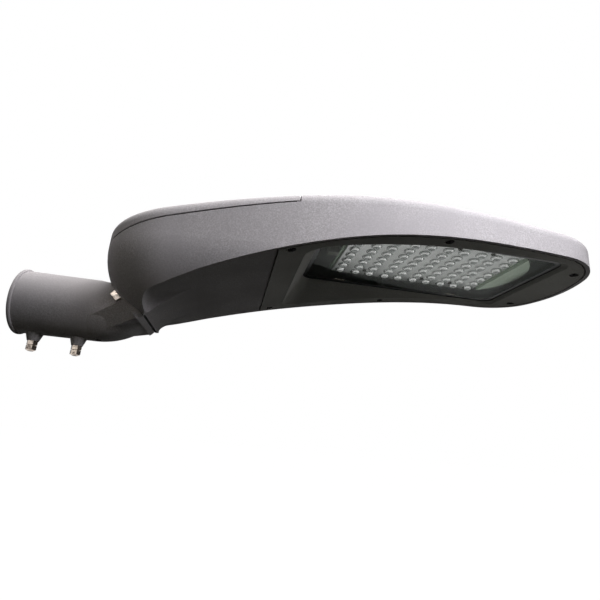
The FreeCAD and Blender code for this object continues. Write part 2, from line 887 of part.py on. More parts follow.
def make_housing(form):
    """The housing casting: driver bay, partition, LED bay, bosses, lands and cooling fins."""
    inner = plan_prism(wall)
    under_roof = inner.common(top_mass(roof))
    within_roof = plan_prism(wall / 2).common(top_mass(roof / 2))
    bay = bulb(wall).common(belly_mass(bay_floor)).common(joint_mass(joint_wall))
    bay = bay.common(behind(partition_rear)).cut(scoop(1, bay_floor)).cut(scoop(-1, bay_floor))
    led_bay = under_roof.common(ahead_of(seam_station)).cut(cover_zone(-deck))
    body = form.cut(cover_zone(0)).cut(bay).cut(led_bay)

    land = ring_between(wall / 2, wall + frame_land, seam_station - over, seam_station + frame_land)
    land = land.common(arch_band(land_rise, land_rise + frame_land_thickness))
    land = land.cut(window_prism(glass_ledge + glass_room + rim_wall + over, arch_height, far_up))
    added = [land]
    pad = box(pad_rear_end - pad_border, plate_front + spreader_nose + pad_border,
              -spreader_half - pad_border, spreader_half + pad_border, pad_level, far_up)
    added.append(pad.common(within_roof))
    for place in frame_screw_places():
        post = rod(frame_boss_radius, place, Vector(place.x, place.y, far_up)).common(within_roof)
        added.append(post.cut(arch_band(-spare, land_rise)).cut(cover_zone(-deck / 2)))
    boss_radius = cover_screw_diameter / 2 + cover_boss_wall
    for place in cover_screw_places():
        foot = place - Vector(0, 0, cover_screw_grip + cover_boss_end)
        post = rod(boss_radius, foot, place + Vector(0, 0, spare))
        added.append(post.cut(cover_zone(0)).common(form))
    for place in tray_screw_places():
        foot = tray_frame.multVec(place - Vector(0, 0, tray_lift + spare))
        post = rod(tray_post_radius, foot, tray_frame.multVec(place))
        added.append(post.common(belly_mass(bay_floor / 2)).common(bulb(wall / 2)).common(form))
    for side in (1, -1):
        added.append(joint_rod(flange_bolt_diameter, side * flange_bolt_side, flange_bolt_up,
                               joint_wall / 2, flange_bolt_grip + flange_boss_end))
    body = body.multiFuse(added)

    body = body.cut(joint_plate(flange_room, -spare, 0)).cut(fin_grooves())
    room_radius = tube_radius + tube_room
    holes = [rod(room_radius, Vector(0, 0, 0), Vector(joint_station - room_radius, 0, 0))]
    holes.append(joint_rod(gland_thread_radius + thread_clearance, 0, neck_middle, -over,
                           joint_wall + over))
    for side in (1, -1):
        holes.append(joint_rod(flange_bolt_diameter / 2 + thread_clearance, side * flange_bolt_side,
                               flange_bolt_up, -over, flange_bolt_grip + over))
    for place in cover_screw_places():
        holes.append(rod(cover_screw_diameter / 2 + thread_clearance,
                         place - Vector(0, 0, cover_screw_grip + over), place + Vector(0, 0, over)))
    for place in frame_screw_places():
        foot = place + Vector(0, 0, land_rise - over)
        holes.append(rod(frame_screw_diameter / 2 + thread_clearance, foot,
                         foot + Vector(0, 0, frame_screw_grip)))
    for place in module_screw_places():
        foot = Vector(place.x, place.y, pad_level - over)
        holes.append(rod(module_screw_diameter / 2 + thread_clearance, foot,
                         foot + Vector(0, 0, module_screw_grip + 2 * over)))
    for place in tray_screw_places():
        holes.append(rod(tray_screw_diameter / 2 + thread_clearance,
                         tray_frame.multVec(place + Vector(0, 0, over)),
                         tray_frame.multVec(place - Vector(0, 0, small_grip + over))))
    middle = grommet_middle()
    reach = Vector(partition_wall, 0, 0)
    holes.append(rod(grommet_hole_radius, middle - reach, middle + reach))
    return one_solid(body.cut(Part.makeCompound(holes)))


def make_cover(form):
    """The top cover of the driver bay, with wells for its screws."""
    shell = form.common(cover_zone(seam_gap))
    hollow = plan_prism(wall).common(top_mass(cover_thickness))
    body = shell.cut(hollow.common(behind(cover_front - cover_front_wall)))
    well_radius = cover_screw_head_radius + cover_screw_room
    boss_radius = well_radius + cover_boss_wall
    bosses = []
    wells = []
    for place in cover_screw_places():
        top = Vector(place.x, place.y, far_up)
        seat = place + Vector(0, 0, seam_gap + cover_screw_seat)
        bosses.append(rod(boss_radius, place - Vector(0, 0, spare), top).common(shell))
        wells.append(rod(well_radius, seat, top))
        wells.append(rod(cover_screw_diameter / 2 + thread_clearance, place - Vector(0, 0, spare), seat))
    return one_solid(body.multiFuse(bosses).cut(Part.makeCompound(wells)))


def make_cover_gasket():
    """The rubber ring between the cover and the housing."""
    front = cover_front - cover_front_wall / 2
    half = cover_gasket_width / 2
    outer = plan_prism(cover_gasket_inset).common(behind(front + half))
    inner = plan_prism(cover_gasket_inset + cover_gasket_width).common(behind(front - half))
    return outer.cut(inner).common(cover_zone(0)).cut(cover_zone(seam_gap)).Solids[0]


def make_cover_screws():
    """The screws that hold the cover down."""
    lift = Vector(0, 0, seam_gap + cover_screw_seat)
    part = screw(cover_screw_head_radius, cover_screw_head, cover_screw_diameter, lift.z + cover_screw_grip)
    return Part.makeCompound([at(part, upright(place + lift)) for place in cover_screw_places()])


def pocket(grow):
    """The frame's sloping pocket, from the window down past the underside, grown by a wall."""
    low = ledge_level - mouth_drop
    rear = window_rear - mouth_rear_flare - grow
    front = window_front + mouth_front_flare + grow
    half_rear = window_half_rear + mouth_side_flare_rear + grow
    half_front = window_half_front + mouth_side_flare_front + grow
    corners = [Vector(rear, -half_rear, low), Vector(front, -half_front, low),
               Vector(front, half_front, low), Vector(rear, half_rear, low)]
    mouth = rounded_ring(corners, 2 * window_corner + grow)
    return Part.makeLoft([mouth, window_ring(grow, ledge_level)], True, True)


def make_frame():
    """The lens frame: an arched skin, a sloping pocket and a rim that holds the glass."""
    inset = wall + frame_gap
    outline = plan_prism(inset).common(ahead_of(seam_station + frame_gap))
    skin = outline.common(arch_band(0, frame_skin))
    seat_grow = glass_ledge + glass_room
    rim = window_prism(seat_grow + rim_wall, ledge_level - rim_depth, rim_level)
    walls = pocket(frame_wall).common(arch_band(0, spare)).fuse(rim.common(arch_band(0, spare)))
    body = skin.fuse(walls)
    body = body.cut(pocket(0)).cut(window_prism(seat_grow, ledge_level, far_up))
    body = body.cut(window_prism(0, ledge_level - over, far_up))
    holes = []
    for place in frame_screw_places():
        down = place - Vector(0, 0, frame_skin)
        holes.append(rod(frame_screw_well, down, place + Vector(0, 0, frame_screw_sink)))
        holes.append(rod(frame_screw_diameter / 2 + 2 * thread_clearance, down,
                         place + Vector(0, 0, land_rise)))
    for place in clip_places():
        foot = place - Vector(0, 0, clip_screw_grip + over)
        holes.append(rod(clip_screw_diameter / 2 + thread_clearance, foot, place))
    return one_solid(body.cut(Part.makeCompound(holes)))


def make_frame_gasket():
    """The rubber ring between the lens frame and the housing's land."""
    outer = wall + frame_gap + frame_gasket_inset
    inner = outer + frame_gasket_width
    rear = seam_station + frame_gap + frame_gasket_inset
    ring = ring_between(outer, inner, rear, rear + frame_gasket_width)
    ring = ring.common(arch_band(frame_skin, land_rise))
    return ring.Solids[0]


def make_frame_screws():
    """The recessed screws that hold the lens frame."""
    seat = Vector(0, 0, frame_screw_sink)
    length = land_rise - frame_screw_sink + frame_screw_grip - frame_screw_end
    part = screw(frame_screw_head_radius, frame_screw_head, frame_screw_diameter, length)
    return Part.makeCompound([at(part, hanging(place + seat)) for place in frame_screw_places()])


def make_glass():
    """The flat glass and the seal that it lies on."""
    glass = window_prism(glass_ledge, glass_level, rim_level)
    edge = (glass_ledge - glass_seal_width) / 2
    seal = window_prism(glass_ledge - edge, ledge_level, glass_level)
    return glass, seal.cut(window_prism(edge, ledge_level - over, glass_level + over))


def clip_places():
    """Points on the frame's rim where the glass clips are screwed down."""
    places = []
    for x in (window_rear + clip_end_margin, window_front - clip_end_margin):
        share = (x - window_rear) / (window_front - window_rear)
        edge = window_half_rear + (window_half_front - window_half_rear) * share
        for side in (1, -1):
            places.append(Vector(x, side * (edge + glass_ledge + glass_room + rim_wall / 2), rim_level))
    return places


def make_clips():
    """The clips that hold the glass to the rim, and their screws."""
    clips = []
    screws = []
    part = screw(clip_screw_head_radius, clip_screw_head, clip_screw_diameter,
                 clip_thickness + clip_screw_grip)
    for place in clip_places():
        inward = -math.copysign(1, place.y)
        tip = place.y + inward * (rim_wall / 2 + glass_room + clip_overlap)
        back = place.y - inward * rim_wall / 2
        plate = box(place.x - clip_length / 2, place.x + clip_length / 2, min(tip, back), max(tip, back),
                    place.z, place.z + clip_thickness)
        hole = rod(clip_screw_diameter / 2 + thread_clearance, place - Vector(0, 0, over),
                   place + Vector(0, 0, clip_thickness + over))
        clips.append(plate.cut(hole))
        screws.append(at(part, upright(place + Vector(0, 0, clip_thickness))))
    return Part.makeCompound(clips), Part.makeCompound(screws)


def lens_dome():
    """One lens of the array: a blunt dome with flat facets that hangs from the XY plane."""
    levels = ((1, 0), (lens_shoulder_share, lens_shoulder_depth), (lens_flat_share, lens_height))
    turns = [2 * math.pi * (i + 0.5) / lens_facets for i in range(lens_facets + 1)]
    rings = []
    for share, depth in levels:
        radius = lens_radius * share
        ring = [Vector(radius * math.cos(t), radius * math.sin(t), -depth) for t in turns]
        rings.append(Part.makePolygon(ring))
    return Part.makeLoft(rings, True, True)


def module_holes(low, high):
    """Clearance holes for the module's screws between two heights."""
    radius = module_screw_diameter / 2 + thread_clearance
    return Part.makeCompound([rod(radius, Vector(p.x, p.y, low), Vector(p.x, p.y, high))
                              for p in module_screw_places()])


def make_lens_array():
    """The moulded lens plate: a shallow tray with a dome over each chip."""
    plate = box(plate_rear, plate_front, -plate_half, plate_half, lens_level, board_level)
    rim = lens_plate_rim
    plate = plate.cut(box(plate_rear + rim, plate_front - rim, -plate_half + rim, plate_half - rim,
                          board_level - lens_plate_recess, board_level + over))
    dome = lens_dome()
    domes = [at(dome, upright(Vector(x, y, lens_level))) for x in columns for y in rows]
    plate = plate.cut(module_holes(lens_level - over, board_level + over))
    return one_solid(plate.multiFuse(domes))


def make_board():
    """The circuit board behind the lenses, and its chips."""
    board = box(plate_rear + board_inset, plate_front - board_inset, -plate_half + board_inset,
                plate_half - board_inset, board_level, spreader_level)
    half = chip_size / 2
    chips = [box(x - half, x + half, y - half, y + half, board_level - chip_height, board_level)
             for x in columns for y in rows]
    return board.cut(module_holes(board_level - over, spreader_level + over)), Part.makeCompound(chips)


def make_spreader():
    """The heat spreader plate with its rounded front end, which stands down towards the glass."""
    plate = box(spreader_rear_end, plate_front, -spreader_half, spreader_half, spreader_level, pad_level)
    low = lens_level - spreader_nose_drop
    left = Vector(plate_front, -spreader_nose_half, low)
    tip = Vector(plate_front + spreader_nose, 0, low)
    right = Vector(plate_front, spreader_nose_half, low)
    nose = Part.Face(Part.Wire([Part.Arc(left, tip, right).toShape(), Part.makeLine(right, left)]))
    plate = plate.fuse(nose.extrude(Vector(0, 0, pad_level - low)))
    return one_solid(plate.cut(module_holes(spreader_level - over, pad_level + over)))


def make_module_screws():
    """The screws that hold lens plate, board and spreader to the housing."""
    length = pad_level - lens_level + module_screw_grip
    part = screw(module_screw_head_radius, module_screw_head, module_screw_diameter, length)
    return Part.makeCompound([at(part, hanging(place)) for place in module_screw_places()])


def make_connector():
    """The white connector on the housing's pad behind the lens plate, with two wire entries."""
    middle = plate_rear - pad_rear / 2
    x0 = middle - connector_length / 2
    y0 = connector_side - connector_width / 2
    top = pad_level
    block = box(x0, x0 + connector_length, y0, y0 + connector_width, top - connector_height, top)
    rounded = [edge for edge in block.Edges if edge.BoundBox.ZMax < top - near]
    block = block.makeFillet(connector_round, rounded)
    for side in (1, -1):
        centre = Vector(x0 - over, connector_side + side * connector_width / 4, top - connector_height / 2)
        block = block.cut(rod(connector_width / 8, centre, centre + Vector(connector_length / 2, 0, 0)))
    return block


def in_tray(shapes):
    """Moves shapes from the tray's own frame to the lamp."""
    return Part.makeCompound([at(shape, tray_frame) for shape in shapes])


def driver_screw_places():
    """Points in the tray's frame where the driver's feet are screwed down."""
    reach = driver_length / 2 + driver_foot / 2
    return [Vector(reach, 0, 0), Vector(-reach, 0, 0)]


def make_tray():
    """The flat gear tray that stands on four posts, and its screws."""
    half_x = tray_length / 2
    half_y = tray_width / 2
    corners = [Vector(-half_x, -half_y, 0), Vector(half_x, -half_y, 0), Vector(half_x, half_y, 0),
               Vector(-half_x, half_y, 0)]
    plate = Part.Face(rounded_ring(corners, tray_corner)).extrude(Vector(0, 0, tray_thickness))
    for place in tray_screw_places():
        plate = plate.cut(rod(tray_screw_diameter / 2 + thread_clearance, place - Vector(0, 0, over),
                              place + Vector(0, 0, tray_thickness + over)))
    for place in driver_screw_places() + [earth_place()]:
        plate = plate.cut(rod(driver_screw_diameter / 2 + thread_clearance, place - Vector(0, 0, over),
                              place + Vector(0, 0, tray_thickness + over)))
    part = screw(small_head_radius, small_head, tray_screw_diameter, tray_thickness + small_grip)
    screws = [at(part, upright(place + Vector(0, 0, tray_thickness))) for place in tray_screw_places()]
    return at(plate, tray_frame), in_tray(screws)


def make_driver():
    """The LED driver: a rounded case on a foot plate, and its two screws."""
    base = tray_thickness
    half_x = driver_length / 2
    half_y = driver_width / 2
    case = box(-half_x, half_x, -half_y, half_y, base, base + driver_height)
    case = case.makeFillet(driver_round, [edge for edge in case.Edges if edge.BoundBox.ZMax > base + near])
    reach = half_x + driver_foot
    foot = box(-reach, reach, -half_y / 2, half_y / 2, base, base + driver_foot_thickness)
    body = case.fuse(foot)
    for place in driver_screw_places():
        body = body.cut(rod(driver_screw_diameter / 2 + thread_clearance, place,
                            place + Vector(0, 0, base + driver_foot_thickness + over)))
    part = screw(small_head_radius, small_head, driver_screw_diameter,
                 driver_foot_thickness + tray_thickness)
    seat = Vector(0, 0, base + driver_foot_thickness)
    screws = [at(part, upright(place + seat)) for place in driver_screw_places()]
    return at(one_solid(body), tray_frame), in_tray(screws)


def make_terminals():
    """The mains terminal block beside the driver, with wire entries and screw wells."""
    y0 = driver_width / 2 + gear_gap
    base = tray_thickness
    half = terminal_length / 2
    block = box(-half, half, y0, y0 + terminal_width, base, base + terminal_height)
    pitch = terminal_length / terminal_ways
    middle = y0 + terminal_width / 2
    for way in range(terminal_ways):
        x = pitch * (way - (terminal_ways - 1) / 2)
        entry = Vector(x, y0 - over, base + terminal_hole_up)
        block = block.cut(rod(terminal_hole_radius, entry, entry + Vector(0, terminal_width + 2 * over, 0)))
        top = Vector(x, middle, base + terminal_height + over)
        block = block.cut(rod(terminal_screw_well, top - Vector(0, 0, terminal_height / 3), top))
    return at(block, tray_frame)


def make_surge_block():
    """The potted surge protector on the driver's other side."""
    y1 = -driver_width / 2 - gear_gap
    half = surge_length / 2
    block = box(-half, half, y1 - surge_width, y1, tray_thickness, tray_thickness + surge_height)
    rounded = [edge for edge in block.Edges if edge.BoundBox.ZMax > tray_thickness + near]
    block = block.makeFillet(driver_round, rounded)
    return at(block, tray_frame)


def earth_place():
    """The point in the tray's frame where the earth screw stands."""
    room = gear_gap + small_head_radius
    return Vector(terminal_length / 2 + room, driver_width / 2 + room, 0)


def make_earth_screw():
    """The earth screw on the tray."""
    part = screw(small_head_radius, small_head, driver_screw_diameter, tray_thickness + small_head)
    return at(part, tray_frame.multiply(upright(earth_place() + Vector(0, 0, tray_thickness))))


def grommet_middle():
    """Centre of the wire hole in the partition between the two bays."""
    x = seam_station - partition_wall / 2
    return Vector(x, grommet_side, belly_level(x) + grommet_up)


def make_grommet():
    """The rubber grommet in the partition: a sleeve with a lip on both sides."""
    middle = grommet_middle()
    half = partition_wall / 2
    axis = Vector(1, 0, 0)
    sleeve = Part.makeCylinder(grommet_hole_radius, partition_wall, middle - axis * half, axis)
    for start in (middle - axis * (half + grommet_lip), middle + axis * half):
        sleeve = sleeve.fuse(Part.makeCylinder(grommet_hole_radius + grommet_lip, grommet_lip, start, axis))
    reach = axis * (half + grommet_lip + over)
    return one_solid(sleeve.cut(rod(grommet_bore_radius, middle - reach, middle + reach)))


head = head_form()
save("housing", make_housing(head))
save("top_cover", make_cover(head))
save("cover_gasket", make_cover_gasket())
save("cover_screws", make_cover_screws())

save("lens_frame", make_frame())
save("frame_gasket", make_frame_gasket())
save("frame_screws", make_frame_screws())
glass_pane, glass_bed = make_glass()
save("glass", glass_pane)
save("glass_seal", glass_bed)
clip_plates, clip_screw_group = make_clips()
save("glass_clips", clip_plates)
save("clip_screws", clip_screw_group)

save("lens_array", make_lens_array())
led_board, led_chips = make_board()
save("led_board", led_board)
save("led_chips", led_chips)
save("heat_spreader", make_spreader())
save("module_screws", make_module_screws())
save("led_connector", make_connector())

gear_tray, tray_screw_group = make_tray()
save("gear_tray", gear_tray)
save("tray_screws", tray_screw_group)
driver_case, driver_screw_group = make_driver()
save("led_driver", driver_case)
save("driver_screws", driver_screw_group)
save("terminal_block", make_terminals())
save("surge_protector", make_surge_block())
save("earth_screw", make_earth_screw())
save("wire_grommet", make_grommet())

save("spigot", make_spigot())
save("flange_gasket", make_flange_gasket())
bolt_group, washer_group = make_flange_bolts()
save("flange_bolts", bolt_group)
save("flange_washers", washer_group)
set_screw_group, lock_nut_group = make_set_screws()
save("set_screws", set_screw_group)
save("lock_nuts", lock_nut_group)
gland_body, gland_ring = make_gland()
save("cable_gland", gland_body)
save("gland_nut", gland_ring)
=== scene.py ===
"""Looks of an LED street light head: finishes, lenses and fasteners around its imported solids.

The frame's origin is the centre of the pole socket's mouth, +X points to the nose and +Z is up.
Sizes of pieces are given in millimetres and become metres where a mesh is made. The studio is in metres.
"""

import logging
import math
from dataclasses import dataclass
from enum import Enum
from typing import Any, Callable

import bpy
from mathutils import Matrix, Vector

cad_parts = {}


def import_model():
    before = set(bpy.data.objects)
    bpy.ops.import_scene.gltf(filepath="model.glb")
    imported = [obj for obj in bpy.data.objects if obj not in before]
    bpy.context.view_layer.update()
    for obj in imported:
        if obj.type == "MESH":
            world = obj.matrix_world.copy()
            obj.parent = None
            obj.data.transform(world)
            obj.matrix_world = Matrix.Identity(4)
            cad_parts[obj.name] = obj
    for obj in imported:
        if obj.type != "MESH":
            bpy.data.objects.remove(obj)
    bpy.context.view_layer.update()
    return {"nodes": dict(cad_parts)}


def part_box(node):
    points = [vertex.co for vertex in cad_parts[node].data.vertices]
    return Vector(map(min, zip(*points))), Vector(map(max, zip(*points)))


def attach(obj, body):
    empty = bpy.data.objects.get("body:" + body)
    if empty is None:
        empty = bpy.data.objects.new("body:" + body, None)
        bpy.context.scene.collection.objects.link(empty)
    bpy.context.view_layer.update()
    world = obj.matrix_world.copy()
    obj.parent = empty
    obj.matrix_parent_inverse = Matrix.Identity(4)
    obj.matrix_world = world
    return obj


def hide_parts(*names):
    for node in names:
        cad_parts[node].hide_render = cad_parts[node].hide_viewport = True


LOG = logging.getLogger("street_light")
MM = 0.001
BODY = "root"
WHITE = "ffffff"

# A face looks along an axis where its normal's share of that axis is above this.
FACING = 0.9

# Values of the noise between which specks, clouds and the change of gloss go from none to full.
SPECK_SPAN = (0.4, 0.68)
CLOUD_SPAN = (0.4, 0.75)
GLOSS_SPAN = (0.3, 0.7)

# A Mix node has sockets of the same names for numbers and for colours, so they are taken by number.
MIX_SHARE = 0
MIX_FIRST = 6
MIX_SECOND = 7
MIX_RESULT = 2


def linear(code: str) -> tuple[float, float, float, float]:
    """Turns an sRGB hex colour into linear red, green, blue and alpha.

    Args:
        code: Six hex digits.

    Returns:
        Four numbers from 0 to 1.
    """
    shares = [int(code[i:i + 2], 16) / 255 for i in (0, 2, 4)]
    red, green, blue = [s / 12.92 if s <= 0.04045 else ((s + 0.055) / 1.055) ** 2.4 for s in shares]
    return red, green, blue, 1.0


def add_node(tree: bpy.types.NodeTree, kind: str, inputs: dict[Any, Any] | None = None,
             **settings: Any) -> bpy.types.Node:
    """Adds one shader node with its settings and links.

    Args:
        tree: The material's or world's node tree.
        kind: Type of the node.
        inputs: Socket name, or its number where names repeat, to a value or to the output that feeds it.
        settings: Attributes of the node.

    Returns:
        The new node.
    """
    node = tree.nodes.new(kind)
    for key, value in settings.items():
        setattr(node, key, value)
    for socket, value in (inputs or {}).items():
        if isinstance(value, bpy.types.NodeSocket):
            tree.links.new(value, node.inputs[socket])
        else:
            node.inputs[socket].default_value = value
    return node


@dataclass(frozen=True)
class Surface:
    """A finish whose colour, gloss and relief vary with a fine grain and a broad cloud.

    Attributes:
        name: Name of its material.
        colour: Main colour.
        speck: Colour of the grain's high spots.
        cloud: Colour of the broad clouds.
        grain_mm: Size of the grain.
        cloud_mm: Size of the clouds.
        roughness: Lowest and highest roughness.
        relief_mm: Height of the grain.
        metallic: Share of metal.
        specular: Level of the gloss, 0.5 for most plastics.
        alpha: Share of light that is stopped.
        coat: Weight of a clear coat.
        shine: Tint of the gloss.
        stretch: Scale of the grain along each axis, where a low number draws it out.
    """

    name: str
    colour: str
    speck: str
    cloud: str
    grain_mm: float
    cloud_mm: float
    roughness: tuple[float, float]
    relief_mm: float
    metallic: float = 0.0
    specular: float = 0.5
    alpha: float = 1.0
    coat: float = 0.0
    shine: str = WHITE
    stretch: tuple[float, float, float] = (1.0, 1.0, 1.0)

    def material(self) -> bpy.types.Material:
        """Makes the material once and gives it back each time after that.

        Returns:
            The node material of this finish.
        """
        made = bpy.data.materials.get(self.name)
        if made is not None:
            return made
        made = bpy.data.materials.new(self.name)
        made.use_nodes = True
        tree = made.node_tree
        place = add_node(tree, "ShaderNodeTexCoord").outputs["Object"]
        drawn = add_node(tree, "ShaderNodeMapping", {"Vector": place, "Scale": self.stretch})
        grain = add_node(tree, "ShaderNodeTexNoise", {
            "Vector": drawn.outputs["Vector"], "Scale": 1 / (self.grain_mm * MM), "Detail": 3.0,
            "Roughness": 0.6}).outputs["Fac"]
        cloud = add_node(tree, "ShaderNodeTexNoise", {
            "Vector": place, "Scale": 1 / (self.cloud_mm * MM), "Detail": 2.0}).outputs["Fac"]
        speckle = add_node(tree, "ShaderNodeMapRange", {
            "Value": grain, "From Min": SPECK_SPAN[0], "From Max": SPECK_SPAN[1]})
        mottle = add_node(tree, "ShaderNodeMapRange", {
            "Value": cloud, "From Min": CLOUD_SPAN[0], "From Max": CLOUD_SPAN[1]})
        grained = add_node(tree, "ShaderNodeMix", {
            MIX_SHARE: speckle.outputs["Result"], MIX_FIRST: linear(self.colour),
            MIX_SECOND: linear(self.speck)}, data_type="RGBA")
        tinted = add_node(tree, "ShaderNodeMix", {
            MIX_SHARE: mottle.outputs["Result"], MIX_FIRST: grained.outputs[MIX_RESULT],
            MIX_SECOND: linear(self.cloud)}, data_type="RGBA")
        gloss = add_node(tree, "ShaderNodeMapRange", {
            "Value": cloud, "From Min": GLOSS_SPAN[0], "From Max": GLOSS_SPAN[1],
            "To Min": self.roughness[0], "To Max": self.roughness[1]})
        relief = add_node(tree, "ShaderNodeBump", {"Height": grain, "Distance": self.relief_mm * MM})
        shader = tree.nodes["Principled BSDF"].inputs
        tree.links.new(tinted.outputs[MIX_RESULT], shader["Base Color"])
        tree.links.new(gloss.outputs["Result"], shader["Roughness"])
        tree.links.new(relief.outputs["Normal"], shader["Normal"])
        shader["Metallic"].default_value = self.metallic
        shader["Specular IOR Level"].default_value = self.specular
        shader["Specular Tint"].default_value = linear(self.shine)
        shader["Alpha"].default_value = self.alpha
        shader["Coat Weight"].default_value = self.coat
        return made


class Finish(Enum):
    """The finishes of the light, each named for what the real surface is, except those that are painted
    shade or a painted highlight.
    """

    # Polyester powder coat on die-cast aluminium: matt, with a fine sandy grain. The real grain is
    # about 0.4 mm, drawn coarser so that it shows at the picture's scale.
    POWDER_COAT = Surface("grey_powder_coat", "b0adaf", "d0cdd0", "b4b1b4", grain_mm=1.5, cloud_mm=60.0,
                          roughness=(0.68, 0.82), relief_mm=0.1, specular=0.03)
    # The same coat, a shade darker and smoother, on the lens frame.
    FRAME_COAT = Surface("dark_powder_coat", "a4a3a0", "b6b5b2", "a8a7a4", grain_mm=1.5, cloud_mm=50.0,
                         roughness=(0.62, 0.76), relief_mm=0.06, specular=0.03)
    # EPDM rubber: dull black with a dusty bloom.
    RUBBER = Surface("black_epdm", "0f0f0f", "1c1c1b", "151515", grain_mm=1.2, cloud_mm=20.0,
                     roughness=(0.75, 0.9), relief_mm=0.04, specular=0.2)
    # Turned stainless steel: bright, with fine marks and warm, dark stains from the weather.
    STAINLESS = Surface("turned_stainless", "dacfc4", "9c8c80", "2c2320", grain_mm=0.6, cloud_mm=4.5,
                        roughness=(0.16, 0.28), relief_mm=0.01, metallic=1.0)
    # The same steel painted dark and brownish, with little shine, as painted shade: on the module screws in
    # the lens plate's recesses and on the flats of the pole screws and nuts that face the ends of the light.
    DULL_STEEL = Surface("dull_stainless", "4a443f", "37322e", "26221f", grain_mm=0.6, cloud_mm=3.5,
                         roughness=(0.35, 0.5), relief_mm=0.01, metallic=1.0)
    # Black oxide on steel: dark and dull. The same black is painted into the recesses of screw heads as
    # painted shade.
    BLACK_STEEL = Surface("black_oxide_steel", "050505", "0a0a0a", "070707", grain_mm=0.8, cloud_mm=6.0,
                          roughness=(0.6, 0.75), relief_mm=0.01, specular=0.02)
    # Toughened float glass: mostly clear, with the green of its iron in its body and its gloss.
    GLASS = Surface("float_glass", "2a4a36", "2c4c38", "2e4e3a", grain_mm=40.0, cloud_mm=120.0,
                    roughness=(0.03, 0.05), relief_mm=0.0, specular=0.16, alpha=0.2, shine="aadcb6")
    # Black enamel burnt into the border of the glass: dark and smooth.
    ENAMEL = Surface("black_enamel", "0a0b0a", "0e0f0e", "0c0d0c", grain_mm=2.0, cloud_mm=40.0,
                     roughness=(0.3, 0.4), relief_mm=0.0, specular=0.12)
    # Moulded acrylic lenses: glossy, and silvery from the carrier that shows through them.
    ACRYLIC = Surface("clear_acrylic", "a2a8a4", "b0b6b2", "9aa09c", grain_mm=3.0, cloud_mm=25.0,
                      roughness=(0.06, 0.1), relief_mm=0.0, metallic=0.5, specular=0.8, coat=1.0)
    # Painted highlight: near-white, mirror-like paint on the steep sides of the lenses, which stands in for
    # the bright crescents of light that the clear lenses show there.
    LENS_RIM = Surface("polished_rim", "eef0ee", "f4f5f4", "e8eae8", grain_mm=3.0, cloud_mm=25.0,
                       roughness=(0.05, 0.08), relief_mm=0.0, metallic=0.9)
    # Metallised carrier of the lenses: silver grey with a soft sheen.
    REFLECTOR = Surface("silvered_carrier", "ebedeb", "f3f4f3", "e2e4e2", grain_mm=1.4, cloud_mm=30.0,
                        roughness=(0.42, 0.5), relief_mm=0.02, metallic=0.75)
    # Circuit board under white solder mask: off-white with a slight gloss.
    BOARD = Surface("white_solder_mask", "d5d8d4", "c6cac5", "cdd0cc", grain_mm=1.0, cloud_mm=25.0,
                    roughness=(0.4, 0.5), relief_mm=0.01)
    # Phosphor under silicone: deep yellow.
    PHOSPHOR = Surface("yellow_phosphor", "d9b13a", "c79d2c", "e0bd52", grain_mm=0.5, cloud_mm=3.0,
                       roughness=(0.25, 0.35), relief_mm=0.0)
    # Rolled aluminium sheet: soft streaks along its length.
    ALUMINIUM = Surface("rolled_aluminium", "aebdaa", "9fad9b", "a6b5a2", grain_mm=0.8, cloud_mm=40.0,
                        roughness=(0.36, 0.5), relief_mm=0.01, metallic=0.85, stretch=(0.06, 1.0, 1.0))
    # Nylon, moulded: off-white, slightly waxy.
    WHITE_NYLON = Surface("white_nylon", "d8d7d0", "cbcac2", "d0cfc8", grain_mm=0.9, cloud_mm=12.0,
                          roughness=(0.4, 0.52), relief_mm=0.02)
    # Glass-filled nylon: black with a fine spark pattern.
    BLACK_NYLON = Surface("black_nylon", "171717", "242424", "1c1c1c", grain_mm=0.9, cloud_mm=15.0,
                          roughness=(0.5, 0.66), relief_mm=0.03)
    # Anodised aluminium case: even satin grey.
    ANODISED = Surface("anodised_case", "9c9d9e", "8d8e8f", "949596", grain_mm=0.7, cloud_mm=30.0,
                       roughness=(0.32, 0.42), relief_mm=0.01, metallic=0.9)
    # Plain brass: warm yellow with a soft shine.
    BRASS = Surface("plain_brass", "b8954e", "a8863f", "b08d47", grain_mm=0.6, cloud_mm=6.0,
                    roughness=(0.25, 0.38), relief_mm=0.01, metallic=1.0)


NODE_FINISHES = {
    Finish.POWDER_COAT: ("housing", "top_cover", "spigot"),
    Finish.FRAME_COAT: ("lens_frame",),
    Finish.RUBBER: ("cover_gasket", "frame_gasket", "glass_seal", "flange_gasket", "wire_grommet"),
    Finish.STAINLESS: ("cover_screws", "glass_clips", "clip_screws", "tray_screws", "driver_screws",
                       "flange_bolts", "flange_washers", "set_screws", "lock_nuts"),
    # Painted shade: the module screws are painted in darkened steel for the shade that they sit in.
    Finish.DULL_STEEL: ("module_screws",),
    Finish.BLACK_STEEL: ("frame_screws",),
    Finish.GLASS: ("glass",),
    Finish.REFLECTOR: ("lens_array",),
    Finish.BOARD: ("led_board",),
    Finish.PHOSPHOR: ("led_chips",),
    Finish.ALUMINIUM: ("heat_spreader", "gear_tray"),
    Finish.WHITE_NYLON: ("led_connector", "terminal_block"),
    Finish.BLACK_NYLON: ("surge_protector", "cable_gland", "gland_nut"),
    Finish.ANODISED: ("led_driver",),
    Finish.BRASS: ("earth_screw",),
}


def dress(piece: bpy.types.Object, finish: Finish) -> None:
    """Gives a piece one finish all over."""
    piece.data.materials.clear()
    piece.data.materials.append(finish.value.material())


def refinish(piece: bpy.types.Object, finish: Finish, test: Callable[[bpy.types.MeshPolygon], bool]) -> None:
    """Gives some faces of a dressed piece a further finish.

    Args:
        piece: The piece.
        finish: The finish that they get.
        test: Says whether a face gets it.
    """
    piece.data.materials.append(finish.value.material())
    last = len(piece.data.materials) - 1
    for face in piece.data.polygons:
        if test(face):
            face.material_index = last


